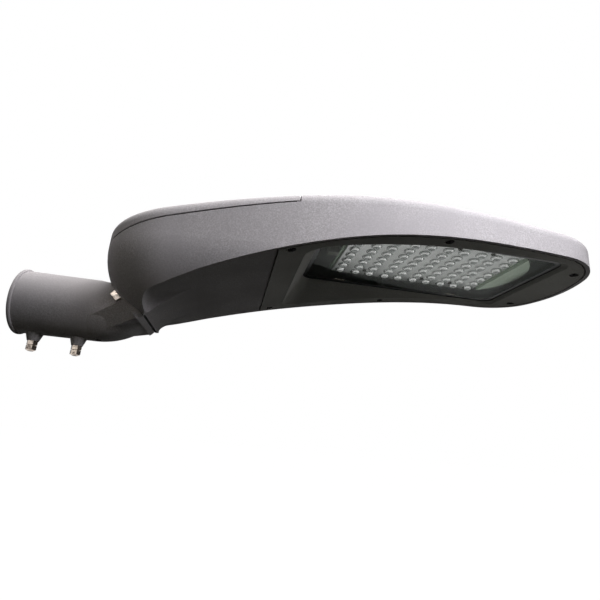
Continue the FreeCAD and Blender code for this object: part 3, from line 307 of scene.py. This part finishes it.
def set_aside() -> None:
    """Leaves edit mode and deselects everything, so that an operator acts only on what comes next."""
    active = bpy.context.view_layer.objects.active
    if active is not None and active.mode != "OBJECT":
        bpy.ops.object.mode_set(mode="OBJECT")
    bpy.ops.object.select_all(action="DESELECT")


def take(piece: bpy.types.Object) -> None:
    """Selects one piece alone and makes it active.

    Args:
        piece: The piece to work on.
    """
    set_aside()
    piece.select_set(True)
    bpy.context.view_layer.objects.active = piece


def bar(sides: int, radius: float, low: float, high: float) -> bpy.types.Object:
    """Adds an upright bar on the Z axis.

    Args:
        sides: Number of its sides.
        radius: Distance of its corners from the axis, in mm.
        low: Height of its foot, in mm.
        high: Height of its top, in mm.

    Returns:
        The bar.
    """
    set_aside()
    bpy.ops.mesh.primitive_cylinder_add(vertices=sides, radius=radius * MM, depth=(high - low) * MM,
                                        location=(0, 0, (low + high) / 2 * MM))
    bpy.ops.object.transform_apply(location=True, rotation=True, scale=True)
    return bpy.context.object


def hexagon_bar(across: float, low: float, high: float) -> bpy.types.Object:
    """Adds an upright bar with six sides on the Z axis.

    Args:
        across: Width across its flats, in mm.
        low: Height of its foot, in mm.
        high: Height of its top, in mm.

    Returns:
        The bar.
    """
    return bar(6, across / math.sqrt(3), low, high)


def block(low: Vector, high: Vector) -> bpy.types.Object:
    """Adds a block between two corners.

    Args:
        low: Its lowest corner, in metres.
        high: Its highest corner, in metres.

    Returns:
        The block.
    """
    set_aside()
    bpy.ops.mesh.primitive_cube_add(size=1, location=(low + high) / 2)
    bpy.context.object.scale = high - low
    bpy.ops.object.transform_apply(location=True, rotation=True, scale=True)
    return bpy.context.object


class Element(Enum):
    """What is picked from a mesh, with the mesh's name for it."""

    FACE = "polygons"
    EDGE = "edges"


def pick(piece: bpy.types.Object, element: Element, test: Callable[[Any], bool]) -> None:
    """Opens a piece in edit mode with the faces or edges selected that pass a test.

    Args:
        piece: The piece to open.
        element: Whether faces or edges are picked.
        test: Says whether a face or edge is wanted.
    """
    take(piece)
    bpy.ops.object.mode_set(mode="EDIT")
    bpy.ops.mesh.select_mode(type=element.name)
    bpy.ops.mesh.select_all(action="DESELECT")
    bpy.ops.object.mode_set(mode="OBJECT")
    for item in getattr(piece.data, element.value):
        item.select = test(item)
    bpy.ops.object.mode_set(mode="EDIT")


def apply_step(piece: bpy.types.Object, step: bpy.types.Modifier) -> None:
    """Applies one modifier of a piece."""
    take(piece)
    bpy.ops.object.modifier_apply(modifier=step.name)


class Cut(Enum):
    """What a Boolean keeps of a piece and its tool."""

    INTERSECT = "INTERSECT"
    UNION = "UNION"
    DIFFERENCE = "DIFFERENCE"


def cut_with(piece: bpy.types.Object, tool: bpy.types.Object, cut: Cut) -> None:
    """Applies one piece to another as a Boolean and removes it.

    Args:
        piece: The piece that stays.
        tool: The piece that is used up.
        cut: What is kept.
    """
    step = piece.modifiers.new("cut", "BOOLEAN")
    step.operation = cut.value
    step.solver = "EXACT"
    step.object = tool
    apply_step(piece, step)
    bpy.data.objects.remove(tool)


def smooth(piece: bpy.types.Object, degrees: float) -> None:
    """Shades a piece smooth, except across edges sharper than an angle."""
    take(piece)
    bpy.ops.object.shade_smooth_by_angle(angle=math.radians(degrees))


def repeat(model: bpy.types.Object, places: list[Matrix], name: str) -> bpy.types.Object:
    """Copies a model to each place and joins the copies into one piece.

    Args:
        model: The model, which is used up.
        places: Where each copy goes.
        name: Name of the joined piece.

    Returns:
        The joined piece, at the origin.
    """
    copies = []
    for place in places:
        mesh = model.data.copy()
        mesh.transform(place)
        copy = bpy.data.objects.new(name, mesh)
        bpy.context.scene.collection.objects.link(copy)
        copies.append(copy)
    set_aside()
    for copy in copies:
        copy.select_set(True)
    bpy.context.view_layer.objects.active = copies[0]
    bpy.ops.object.join()
    bpy.data.objects.remove(model)
    copies[0].name = name
    return copies[0]


def members(node: bpy.types.Object, apart: float) -> list[tuple[Vector, Vector]]:
    """Finds the separate members of a node that holds a group of equal pieces.

    Args:
        node: The node's object.
        apart: Seen from above, members are further apart than this, in mm.

    Returns:
        Lowest and highest corner of each member, in metres, in order of place to a tenth of a mm.
    """
    reach = apart * MM
    found: list[tuple[Vector, Vector]] = []
    for vertex in node.data.vertices:
        point = vertex.co
        for low, high in found:
            if all(low[i] - reach < point[i] < high[i] + reach for i in (0, 1)):
                for i in range(3):
                    low[i] = min(low[i], point[i])
                    high[i] = max(high[i], point[i])
                break
        else:
            found.append((point.copy(), point.copy()))
    return sorted(found, key=lambda pair: (round(pair[0].x, 4), round(pair[0].y, 4)))


def hand_over(piece: bpy.types.Object, node: str) -> None:
    """Fixes a new piece to the light and lets it stand for its node.

    Args:
        piece: The new piece, with its finish.
        node: The node that it stands for.
    """
    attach(piece, BODY)
    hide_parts(node)
    LOG.info("%s stands for %s with %d faces", piece.name, node, len(piece.data.polygons))


@dataclass
class Casing:
    """The castings, seals and inner gear, which keep their solids and get their finishes."""

    nodes: dict[str, bpy.types.Object]

    def dress_all(self) -> None:
        """Gives every node its finish."""
        for finish, names in NODE_FINISHES.items():
            for name in names:
                dress(self.nodes[name], finish)
                LOG.info("%s is finished in %s", name, finish.value.name)


@dataclass
class LensArray:
    """The carrier plate and its rows of clear lenses.

    A dome stops short of its pole by blunt_share of a step. A side of it is steep, and is painted with a
    bright highlight, where its normal's share of Z is below steep_share. Chips are further apart than
    chip_gap.
    """

    nodes: dict[str, bpy.types.Object]
    plate_thickness: float = 3.0
    plate_edge: float = 1.2
    edge_segments: int = 3
    plate_crease: float = 40.0
    sides: int = 14
    collar_radius: float = 7.6
    collar_height: float = 0.7
    lens_radius: float = 6.4
    lens_drop: float = 4.9
    lens_crease: float = 50.0
    dome_steps: int = 4
    blunt_share: float = 0.6
    steep_share: float = 0.75
    chip_gap: float = 5.0

    def carrier(self) -> bpy.types.Object:
        """Models the carrier plate with rounded edges.

        Returns:
            The plate.
        """
        low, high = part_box("lens_array")
        low.z = high.z - self.plate_thickness * MM
        plate = block(low, high)
        plate.name = "lens_carrier"
        edge = plate.modifiers.new("edge", "BEVEL")
        edge.width = self.plate_edge * MM
        edge.segments = self.edge_segments
        apply_step(plate, edge)
        smooth(plate, self.plate_crease)
        dress(plate, Finish.REFLECTOR)
        return plate

    def lens(self) -> bpy.types.Object:
        """Models one lens that hangs from the XY plane: a collar and a blunt dome.

        Returns:
            The lens.
        """
        model = bar(self.sides, self.collar_radius, -self.collar_height, 0)
        pick(model, Element.FACE, lambda face: face.normal.z < -FACING)
        bpy.ops.mesh.inset(thickness=(self.collar_radius - self.lens_radius) * MM)
        reached = 0.0
        width = 1.0
        for i in range(1, self.dome_steps + 1):
            turn = math.pi / 2 * i / (self.dome_steps + self.blunt_share)
            drop = math.sin(turn) * (self.lens_drop - self.collar_height)
            bpy.ops.mesh.extrude_region_move(TRANSFORM_OT_translate={"value": (0, 0, (reached - drop) * MM)})
            share = math.cos(turn) / width
            bpy.ops.transform.resize(value=(share, share, 1))
            reached = drop
            width = math.cos(turn)
        bpy.ops.object.mode_set(mode="OBJECT")
        smooth(model, self.lens_crease)
        dress(model, Finish.ACRYLIC)
        foot = -self.collar_height * MM
        # Painted highlight: the steep sides of each dome get near-white, mirror-like paint.
        refinish(model, Finish.LENS_RIM,
                 lambda face: abs(face.normal.z) < self.steep_share and face.center.z < foot)
        return model

    def build(self) -> None:
        """Builds the carrier and the lenses, one over each chip."""
        plate = self.carrier()
        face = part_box("lens_array")[1].z - self.plate_thickness * MM
        spots = [(low + high) / 2 for low, high in members(self.nodes["led_chips"], self.chip_gap)]
        places = [Matrix.Translation((spot.x, spot.y, face)) for spot in spots]
        lenses = repeat(self.lens(), places, "clear_lenses")
        hand_over(plate, "lens_array")
        hand_over(lenses, "lens_array")


@dataclass
class Pane:
    """The flat window glass with its black border.

    Its front end is front_share as wide as its rear end.
    """

    corner: float = 20.0
    corner_segments: int = 8
    front_share: float = 0.938
    border: float = 11.5

    def form(self) -> bpy.types.Object:
        """Models the pane: narrower to the front, with round corners and a border set off below.

        Returns:
            The pane.
        """
        low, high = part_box("glass")
        pane = block(low, high)
        pane.name = "glass_pane"
        pick(pane, Element.FACE, lambda face: face.normal.x > FACING)
        bpy.ops.transform.resize(value=(1, self.front_share, 1))
        bpy.ops.object.mode_set(mode="OBJECT")

        def upright(edge: bpy.types.MeshEdge) -> bool:
            """Says whether an edge runs through the pane's thickness."""
            start, end = (pane.data.vertices[i].co for i in edge.vertices)
            return abs(start.z - end.z) > (high.z - low.z) / 2

        pick(pane, Element.EDGE, upright)
        bpy.ops.mesh.bevel(offset=self.corner * MM, segments=self.corner_segments)
        bpy.ops.object.mode_set(mode="OBJECT")
        pick(pane, Element.FACE, lambda face: face.normal.z < -FACING)
        bpy.ops.mesh.inset(thickness=self.border * MM)
        bpy.ops.object.mode_set(mode="OBJECT")
        return pane

    def build(self) -> None:
        """Builds the pane and dresses its border apart from its middle."""
        pane = self.form()
        dress(pane, Finish.GLASS)
        below = [face for face in pane.data.polygons if face.normal.z < -FACING]
        middle = max(below, key=lambda face: face.area).index
        refinish(pane, Finish.ENAMEL, lambda face: face.normal.z < -FACING and face.index != middle)
        hand_over(pane, "glass")


class Drive(Enum):
    """Recess in a screw's head."""

    NONE = 0
    HEX = 1
    CROSS = 2


class Way(Enum):
    """Which way a fastener's head points."""

    UP = 0
    DOWN = 1
    LEANING = 2


# Sides of a round head, of a shank or hole, and of the cone that chamfers a hexagon.
ROUND_SIDES = 28
SHANK_SIDES = 24
CONE_SIDES = 40
# A cone's width grows by this for each mm of depth, which gives a chamfer of 30 degrees.
CONE_SLOPE = math.sqrt(3)
# Depth of that cone, in heads.
CONE_HEADS = 2
# A round head's rim: how far in its top is set off and how wide its edge is bevelled, in heads.
RIM_INSET = 0.12
RIM_WIDTH = 0.18
RIM_SEGMENTS = 3
# How far a shank reaches up into its head, in heads.
SHANK_OVERLAP = 0.3
# Half length and half width of a cross recess's arm, in widths of the recess.
CROSS_LENGTH = 0.5
CROSS_WIDTH = 0.14
# How far a tool that cuts right through stands out, in mm.
TOOL_CLEARANCE = 1.0
# The faces of a recess, which are painted black as painted shade, have their middles within this many widths
# of the axis, and from this many mm under its floor to as many under the head's top.
RECESS_REACH = 0.52
RECESS_SKIN = 0.1
# Edges that turn by more than this stay sharp, in degrees.
FASTENER_CREASE = 30.0
# A flat of the upright model is painted darker, as painted shade, where its normal's share of Y is above
# this.
SHADED_FACING = 0.8


@dataclass(frozen=True)
class Fastener:
    """One size of screw, bolt or nut, modelled upright with its seat on the XY plane.

    Attributes:
        name: Name of the piece that holds all of this size.
        node: The node that it stands for.
        slot: Name of its material slot; it is not used.
        finish: Its finish.
        way: Which way its head points on the light.
        head: Height of its head.
        across: Width of its head, over the flats of a hexagon.
        shank: Width of its shank, or of a nut's hole.
        length: Length of its shank, 0 for a nut.
        hexagonal: Whether its head is a hexagon.
        drive: Recess in its head.
        recess: Width of the recess.
        recess_depth: Depth of the recess.
        chamfer: Width of a hexagon's top inside its chamfer, in widths of the head.
        shaded_flats: Whether the flats towards the ends of the light are painted darker, as painted shade.
    """

    name: str
    node: str
    slot: str
    finish: Finish
    way: Way
    head: float
    across: float
    shank: float
    length: float
    hexagonal: bool = False
    drive: Drive = Drive.NONE
    recess: float = 0.0
    recess_depth: float = 0.0
    chamfer: float = 0.94
    shaded_flats: bool = False

    def hexagon_head(self) -> bpy.types.Object:
        """Models a hexagonal head with a chamfered top.

        Returns:
            The head.
        """
        form = hexagon_bar(self.across, 0, self.head)
        top = self.across * self.chamfer / 2
        depth = self.head * CONE_HEADS
        set_aside()
        bpy.ops.mesh.primitive_cone_add(vertices=CONE_SIDES, radius1=(top + depth * CONE_SLOPE) * MM,
                                        radius2=top * MM, depth=depth * MM,
                                        location=(0, 0, (self.head - depth / 2) * MM))
        bpy.ops.object.transform_apply(location=True)
        cut_with(form, bpy.context.object, Cut.INTERSECT)
        return form

    def round_head(self) -> bpy.types.Object:
        """Models a round head with a softened rim.

        Returns:
            The head.
        """
        form = bar(ROUND_SIDES, self.across / 2, 0, self.head)
        pick(form, Element.FACE, lambda face: face.normal.z > FACING)
        bpy.ops.mesh.inset(thickness=self.head * RIM_INSET * MM)
        bpy.ops.object.mode_set(mode="OBJECT")
        rim = form.modifiers.new("rim", "BEVEL")
        rim.width = self.head * RIM_WIDTH * MM
        rim.segments = RIM_SEGMENTS
        rim.limit_method = "ANGLE"
        apply_step(form, rim)
        return form

    def cut_recess(self, form: bpy.types.Object) -> None:
        """Cuts the drive's recess into a head.

        Args:
            form: The head.
        """
        top = self.head + TOOL_CLEARANCE
        floor = self.head - self.recess_depth
        if self.drive is Drive.HEX:
            cut_with(form, hexagon_bar(self.recess, floor, top), Cut.DIFFERENCE)
        if self.drive is Drive.CROSS:
            for wide, deep in ((CROSS_LENGTH, CROSS_WIDTH), (CROSS_WIDTH, CROSS_LENGTH)):
                half = Vector((self.recess * wide, self.recess * deep, 0)) * MM
                low = Vector((0, 0, floor * MM)) - half
                high = Vector((0, 0, top * MM)) + half
                cut_with(form, block(low, high), Cut.DIFFERENCE)

    def finish_form(self, form: bpy.types.Object) -> None:
        """Gives a fastener its finish, its recess painted black as painted shade and, where it has them, its
        side flats painted darker as painted shade.

        Args:
            form: The whole fastener.
        """
        dress(form, self.finish)
        low = (self.head - self.recess_depth - RECESS_SKIN) * MM
        high = (self.head - RECESS_SKIN) * MM
        reach = self.recess * RECESS_REACH * MM
        # Painted shade: the recess is painted black.
        refinish(form, Finish.BLACK_STEEL,
                 lambda face: face.center.xy.length < reach and low < face.center.z < high)
        # Painted shade: the flats that face the ends of the light are painted in darker steel.
        if self.shaded_flats:
            refinish(form, Finish.DULL_STEEL,
                     lambda face: abs(face.normal.y) > SHADED_FACING and face.material_index == 0)

    def model(self) -> bpy.types.Object:
        """Models the whole fastener.

        Returns:
            The fastener, or the nut where it has no length.
        """
        form = self.hexagon_head() if self.hexagonal else self.round_head()
        self.cut_recess(form)
        if self.length > 0:
            shank = bar(SHANK_SIDES, self.shank / 2, -self.length, self.head * SHANK_OVERLAP)
            cut_with(form, shank, Cut.UNION)
        else:
            hole = bar(SHANK_SIDES, self.shank / 2, -TOOL_CLEARANCE, self.head + TOOL_CLEARANCE)
            cut_with(form, hole, Cut.DIFFERENCE)
        smooth(form, FASTENER_CREASE)
        self.finish_form(form)
        return form

    def build(self, places: list[Matrix]) -> None:
        """Places a copy at each seat.

        Args:
            places: Seats of the fasteners, with the head's way as their Z axis.
        """
        piece = repeat(self.model(), places, self.name)
        hand_over(piece, self.node)


FASTENERS = (
    Fastener("frame_socket_screws", "frame_screws", "black_screw", Finish.BLACK_STEEL, Way.DOWN, head=1.9,
             across=8.8, shank=5.0, length=15.6, drive=Drive.HEX, recess=3.4, recess_depth=1.3),
    Fastener("cover_socket_screws", "cover_screws", "stainless", Finish.STAINLESS, Way.UP, head=4.0,
             across=9.0, shank=5.0, length=19.6, drive=Drive.HEX, recess=4.0, recess_depth=2.4),
    # Painted shade: the module screws are painted all over in darkened steel for the shade of the lens
    # plate's recesses.
    Fastener("module_cross_screws", "module_screws", "stainless", Finish.DULL_STEEL, Way.DOWN, head=2.0,
             across=5.6, shank=3.0, length=11.6, drive=Drive.CROSS, recess=3.4, recess_depth=1.2),
    # Painted shade: the set screws and lock nuts have their flats towards the ends of the light painted
    # darker.
    Fastener("pole_set_screws", "set_screws", "stainless", Finish.STAINLESS, Way.DOWN, head=6.0,
             across=10.0, shank=6.0, length=17.5, hexagonal=True, drive=Drive.HEX, recess=5.0,
             recess_depth=3.0, chamfer=0.62, shaded_flats=True),
    Fastener("pole_lock_nuts", "lock_nuts", "stainless", Finish.STAINLESS, Way.DOWN, head=5.0,
             across=10.0, shank=6.2, length=0.0, hexagonal=True, shaded_flats=True),
    Fastener("flange_hex_bolts", "flange_bolts", "stainless", Finish.STAINLESS, Way.LEANING, head=4.5,
             across=10.0, shank=6.0, length=24.2, hexagonal=True),
)


@dataclass
class Fasteners:
    """All screws, bolts and nuts that show on the outside or through the glass.

    Screws of a node are further apart than screw_gap. The points of a bolt within top_skin of its
    furthest one are its head's top.
    """

    nodes: dict[str, bpy.types.Object]
    screw_gap: float = 20.0
    bolt_lean: float = 45.0
    top_skin: float = 0.1

    def straight_seats(self, fastener: Fastener) -> list[Matrix]:
        """Finds the seats of upright or hanging fasteners.

        Args:
            fastener: The size to place.

        Returns:
            One place per fastener.
        """
        # A hanging head is also turned so that a hexagon has a flat on each side of the light.
        hanging = Matrix.Rotation(math.pi, 4, "X") @ Matrix.Rotation(math.pi / 2, 4, "Z")
        down = fastener.way is Way.DOWN
        head = fastener.head * MM
        places = []
        for low, high in members(self.nodes[fastener.node], self.screw_gap):
            middle = (low + high) / 2
            level = low.z + head if down else high.z - head
            place = Matrix.Translation((middle.x, middle.y, level))
            places.append(place @ hanging if down else place)
        return places

    def leaning_seats(self, fastener: Fastener) -> list[Matrix]:
        """Finds the seats of the two bolts whose heads point down and to the rear.

        Args:
            fastener: The size to place.

        Returns:
            One place per bolt.
        """
        lean = Matrix.Rotation(math.pi + math.radians(self.bolt_lean), 4, "Y")
        way = lean.to_3x3() @ Vector((0, 0, 1))
        corners = [vertex.co for vertex in self.nodes[fastener.node].data.vertices]
        places = []
        for side in (1, -1):
            points = [point for point in corners if point.y * side > 0]
            reach = max(point.dot(way) for point in points)
            top = [point for point in points if point.dot(way) > reach - self.top_skin * MM]
            middle = sum(top, Vector()) / len(top)
            places.append(Matrix.Translation(middle - way * fastener.head * MM) @ lean)
        return places

    def build(self) -> None:
        """Builds every size of fastener at its seats."""
        for fastener in FASTENERS:
            leaning = fastener.way is Way.LEANING
            fastener.build(self.leaning_seats(fastener) if leaning else self.straight_seats(fastener))


def shown_rays(tree: bpy.types.NodeTree) -> bpy.types.NodeSocket:
    """Finds the rays that show the surroundings: straight views, reflections and views through glass.

    Args:
        tree: The node tree to work in.

    Returns:
        An output that is 1 for those rays and 0 for light that spreads.
    """
    path = add_node(tree, "ShaderNodeLightPath").outputs
    first = add_node(tree, "ShaderNodeMath", {0: path["Is Camera Ray"], 1: path["Is Glossy Ray"]},
                     operation="MAXIMUM")
    both = add_node(tree, "ShaderNodeMath", {0: first.outputs["Value"], 1: path["Is Transmission Ray"]},
                    operation="MAXIMUM")
    return both.outputs["Value"]


@dataclass(frozen=True)
class Lamp:
    """One soft lamp.

    Attributes:
        name: Its name.
        stand: Where it is.
        aim: What it points at.
        size: Its width.
        watts: Its power.
        tint: Colour of its light.
        spread: Angle that its light spreads over, in degrees.
    """

    name: str
    stand: tuple[float, float, float]
    aim: tuple[float, float, float]
    size: float
    watts: float
    tint: str
    spread: float = 180.0

    def build(self) -> None:
        """Adds the lamp to the scene, out of the camera's sight."""
        lamp = bpy.data.lights.new(self.name, "AREA")
        lamp.size = self.size
        lamp.spread = math.radians(self.spread)
        lamp.energy = self.watts
        lamp.color = linear(self.tint)[:3]
        holder = bpy.data.objects.new(self.name, lamp)
        bpy.context.scene.collection.objects.link(holder)
        holder.location = self.stand
        holder.rotation_euler = (Vector(self.aim) - Vector(self.stand)).to_track_quat("-Z", "Y").to_euler()
        holder.visible_camera = False


LAMPS = (
    Lamp("key", stand=(0.55, -0.42, 0.3), aim=(0.5, -0.1, 0.1), size=0.3, watts=2.2, tint="fcfbff"),
    Lamp("overhead", stand=(0.15, 0.0, 1.3), aim=(0.15, 0.0, 0.1), size=1.2, watts=25.0, tint="fffcfa"),
    Lamp("rear_side", stand=(-0.8, -0.4, 0.9), aim=(0.05, 0.0, 0.0), size=0.6, watts=1.0, tint="fffcf6"),
    Lamp("fill", stand=(-0.1, -0.9, 0.05), aim=(0.1, 0.0, 0.05), size=0.3, watts=0.15, tint="fffae8"),
    Lamp("low_front", stand=(1.1, -0.12, 0.05), aim=(0.33, 0.0, 0.09), size=0.15, watts=0.36, tint="fdfefa"),
    Lamp("under_nose", stand=(0.8, -0.15, -0.3), aim=(0.64, -0.02, 0.09), size=0.12, watts=0.009,
         tint="fdfefa", spread=45.0),
    Lamp("neck_side", stand=(0.05, -0.55, 0.12), aim=(0.115, -0.05, -0.01), size=0.05, watts=0.0018,
         tint="fff6ea", spread=20.0),
)


@dataclass
class Studio:
    """Floor, surroundings, lamps and camera.

    The floor throws lamplight back only by its dark floor_shade. What is seen of it is floor_shown
    with a glow, which is weaker within shadow_reach of its middle, so that the shadow shows there.
    """

    floor_level: float = -0.75
    floor_width: float = 40.0
    floor_shade: str = "31312d"
    floor_shown: str = "8a8a8a"
    far_glow: float = 1.0
    near_glow: float = 0.8
    shadow_reach: float = 1.6
    world_tint: str = "f6f7ea"
    world_light: float = 0.01
    world_shown: float = 1.0
    lens_mm: float = 26.4
    sensor_mm: float = 36.0
    clip_start: float = 0.01
    stand: tuple[float, float, float] = (0.2432, -0.5292, -0.1207)
    right: tuple[float, float, float] = (0.982, -0.167, 0.085)
    up: tuple[float, float, float] = (-0.130, -0.280, 0.951)

    def floor_paint(self) -> bpy.types.Material:
        """Mixes the floor's paint, which shows pale but throws little light back up.

        Returns:
            The paint.
        """
        paint = bpy.data.materials.new("pale_floor")
        paint.use_nodes = True
        tree = paint.node_tree
        tree.nodes.clear()
        shade = add_node(tree, "ShaderNodeBsdfDiffuse", {"Color": linear(self.floor_shade)})
        shown = add_node(tree, "ShaderNodeBsdfDiffuse", {"Color": linear(self.floor_shown)})
        place = add_node(tree, "ShaderNodeTexCoord").outputs["Object"]
        reach = add_node(tree, "ShaderNodeMapping", {"Vector": place, "Scale": (1 / self.shadow_reach,) * 3})
        near = add_node(tree, "ShaderNodeTexGradient", {"Vector": reach.outputs["Vector"]},
                        gradient_type="SPHERICAL")
        level = add_node(tree, "ShaderNodeMapRange", {
            "Value": near.outputs["Fac"], "To Min": self.far_glow, "To Max": self.near_glow})
        glow = add_node(tree, "ShaderNodeEmission", {
            "Color": linear(WHITE), "Strength": level.outputs["Result"]})
        pale = add_node(tree, "ShaderNodeAddShader", {0: shown.outputs["BSDF"], 1: glow.outputs["Emission"]})
        mixed = add_node(tree, "ShaderNodeMixShader", {
            0: shown_rays(tree), 1: shade.outputs["BSDF"], 2: pale.outputs["Shader"]})
        add_node(tree, "ShaderNodeOutputMaterial", {"Surface": mixed.outputs["Shader"]})
        return paint

    def build_floor(self) -> None:
        """Lays a wide pale floor."""
        set_aside()
        bpy.ops.mesh.primitive_plane_add(size=self.floor_width, location=(0, 0, self.floor_level))
        floor = bpy.context.object
        floor.name = "studio_floor"
        floor.data.materials.append(self.floor_paint())

    def build_world(self) -> None:
        """Makes white surroundings that give only a low, even light."""
        world = bpy.data.worlds.new("studio")
        bpy.context.scene.world = world
        world.use_nodes = True
        tree = world.node_tree
        tree.nodes.clear()
        light = add_node(tree, "ShaderNodeBackground", {
            "Color": linear(self.world_tint), "Strength": self.world_light})
        view = add_node(tree, "ShaderNodeBackground", {"Color": linear(WHITE), "Strength": self.world_shown})
        mixed = add_node(tree, "ShaderNodeMixShader", {
            0: shown_rays(tree), 1: light.outputs["Background"], 2: view.outputs["Background"]})
        add_node(tree, "ShaderNodeOutputWorld", {"Surface": mixed.outputs["Shader"]})

    def build_camera(self) -> None:
        """Sets the camera at the photograph's view."""
        data = bpy.data.cameras.new("camera")
        data.sensor_width = self.sensor_mm
        data.lens = self.lens_mm
        data.clip_start = self.clip_start
        camera = bpy.data.objects.new("camera", data)
        bpy.context.scene.collection.objects.link(camera)
        right = Vector(self.right).normalized()
        back = right.cross(Vector(self.up)).normalized()
        up = back.cross(right)
        turn = Matrix((right, up, back)).transposed().to_4x4()
        camera.matrix_world = Matrix.Translation(self.stand) @ turn
        bpy.context.scene.camera = camera

    def build(self) -> None:
        """Builds the whole studio."""
        self.build_floor()
        self.build_world()
        for lamp in LAMPS:
            lamp.build()
        self.build_camera()
        bpy.context.scene.view_settings.view_transform = "Standard"


def main() -> None:
    """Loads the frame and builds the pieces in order."""
    logging.basicConfig(level=logging.INFO, format="%(message)s")
    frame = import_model()
    nodes = frame["nodes"]
    Casing(nodes).dress_all()
    LensArray(nodes).build()
    Pane().build()
    Fasteners(nodes).build()
    Studio().build()


if __name__ == "__main__":
    main()
